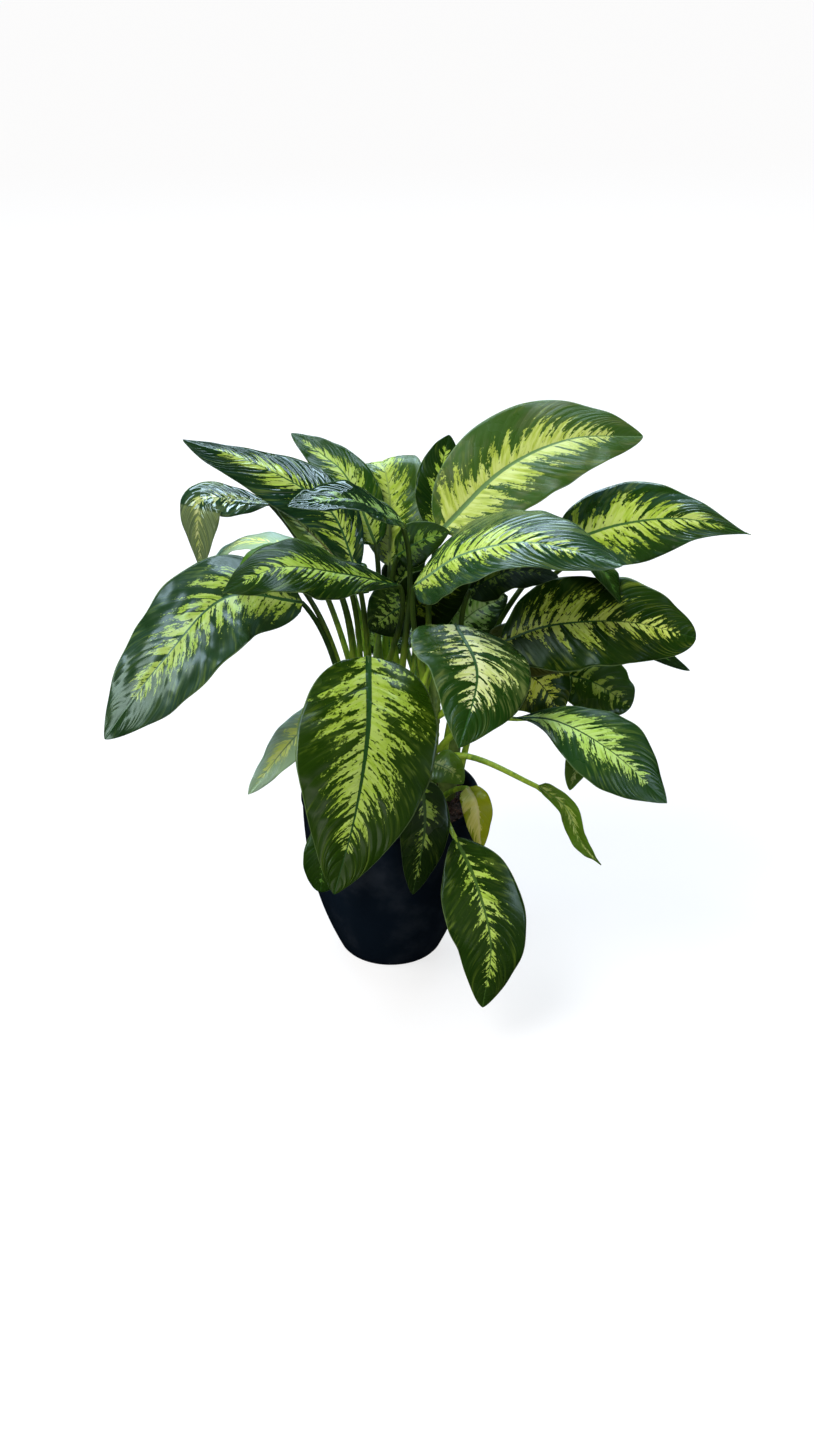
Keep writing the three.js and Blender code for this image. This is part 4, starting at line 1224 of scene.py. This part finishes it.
def build_floor():
    bm = bmesh.new()
    bmesh.ops.create_grid(bm, x_segments=1, y_segments=1, size=FLOOR_REACH)
    material, tree, shader = new_material("floor")
    shader["Base Color"].default_value = FLOOR_GREY
    shader["Roughness"].default_value = 1.0
    shader["Specular IOR Level"].default_value = 0.0
    shader["Emission Color"].default_value = WHITE
    feed(tree, shader["Emission Strength"], by_ray(tree, 0.78, 0.0, 0.0))
    floor = set_out("floor", mesh_of(bm, "floor", [material]))
    floor.visible_glossy = False


def build_studio():
    world = bpy.data.worlds.new("studio")
    world.use_nodes = True
    tree = world.node_tree
    background = tree.nodes["Background"].inputs
    seen = add(tree, "ShaderNodeLightPath").outputs["Is Camera Ray"]
    feed(tree, background["Color"], mixed(tree, seen, HAZE, WHITE))
    feed(tree, background["Strength"], by_ray(tree, 1.0, 0.01, 0.06))
    bpy.context.scene.world = world

    sun = bpy.data.lights.new("key sun", "SUN")
    sun.energy = 3.1
    sun.angle = math.radians(30)
    sun.color = (1.0, 0.98, 0.93)
    lamp = set_out("key sun", sun)
    lamp.location = (-1.1, -0.9, 2.4)
    lamp.visible_glossy = False
    look_at(lamp, (0, 0, 0.3))
    for name, row in PANELS.items():
        area_light(name, *row, shines=False)
    for name, row in WINDOWS.items():
        area_light(name, *row, lights=False)
    bpy.context.scene.view_settings.view_transform = "Standard"


build_camera()
build_studio()
build_floor()
# Each stalk and cane finish takes the painted shade colour high up among the leaves.
LIGHT_STALK = stalk_material("light stalk", (0.46, 0.66, 0.05), (0.16, 0.34, 0.02), STALK_PAINTED_SHADE_GREEN)
DARK_STALK = stalk_material("dark stalk", (0.08, 0.18, 0.025), (0.03, 0.09, 0.015), STALK_PAINTED_SHADE_GREEN)
CANE_SKIN = stalk_material("cane skin", (0.22, 0.32, 0.07), (0.09, 0.16, 0.03), STALK_PAINTED_SHADE_GREEN)
build_pot()
build_soil()
for cane_name in CANES:
    build_cane(cane_name, CANE_SKIN)
for number, (leaf_name, leaf_row) in enumerate(LEAVES.items()):
    build_leaf(leaf_name, leaf_row, number, DARK_STALK if leaf_row["dark_stalk"] else LIGHT_STALK)
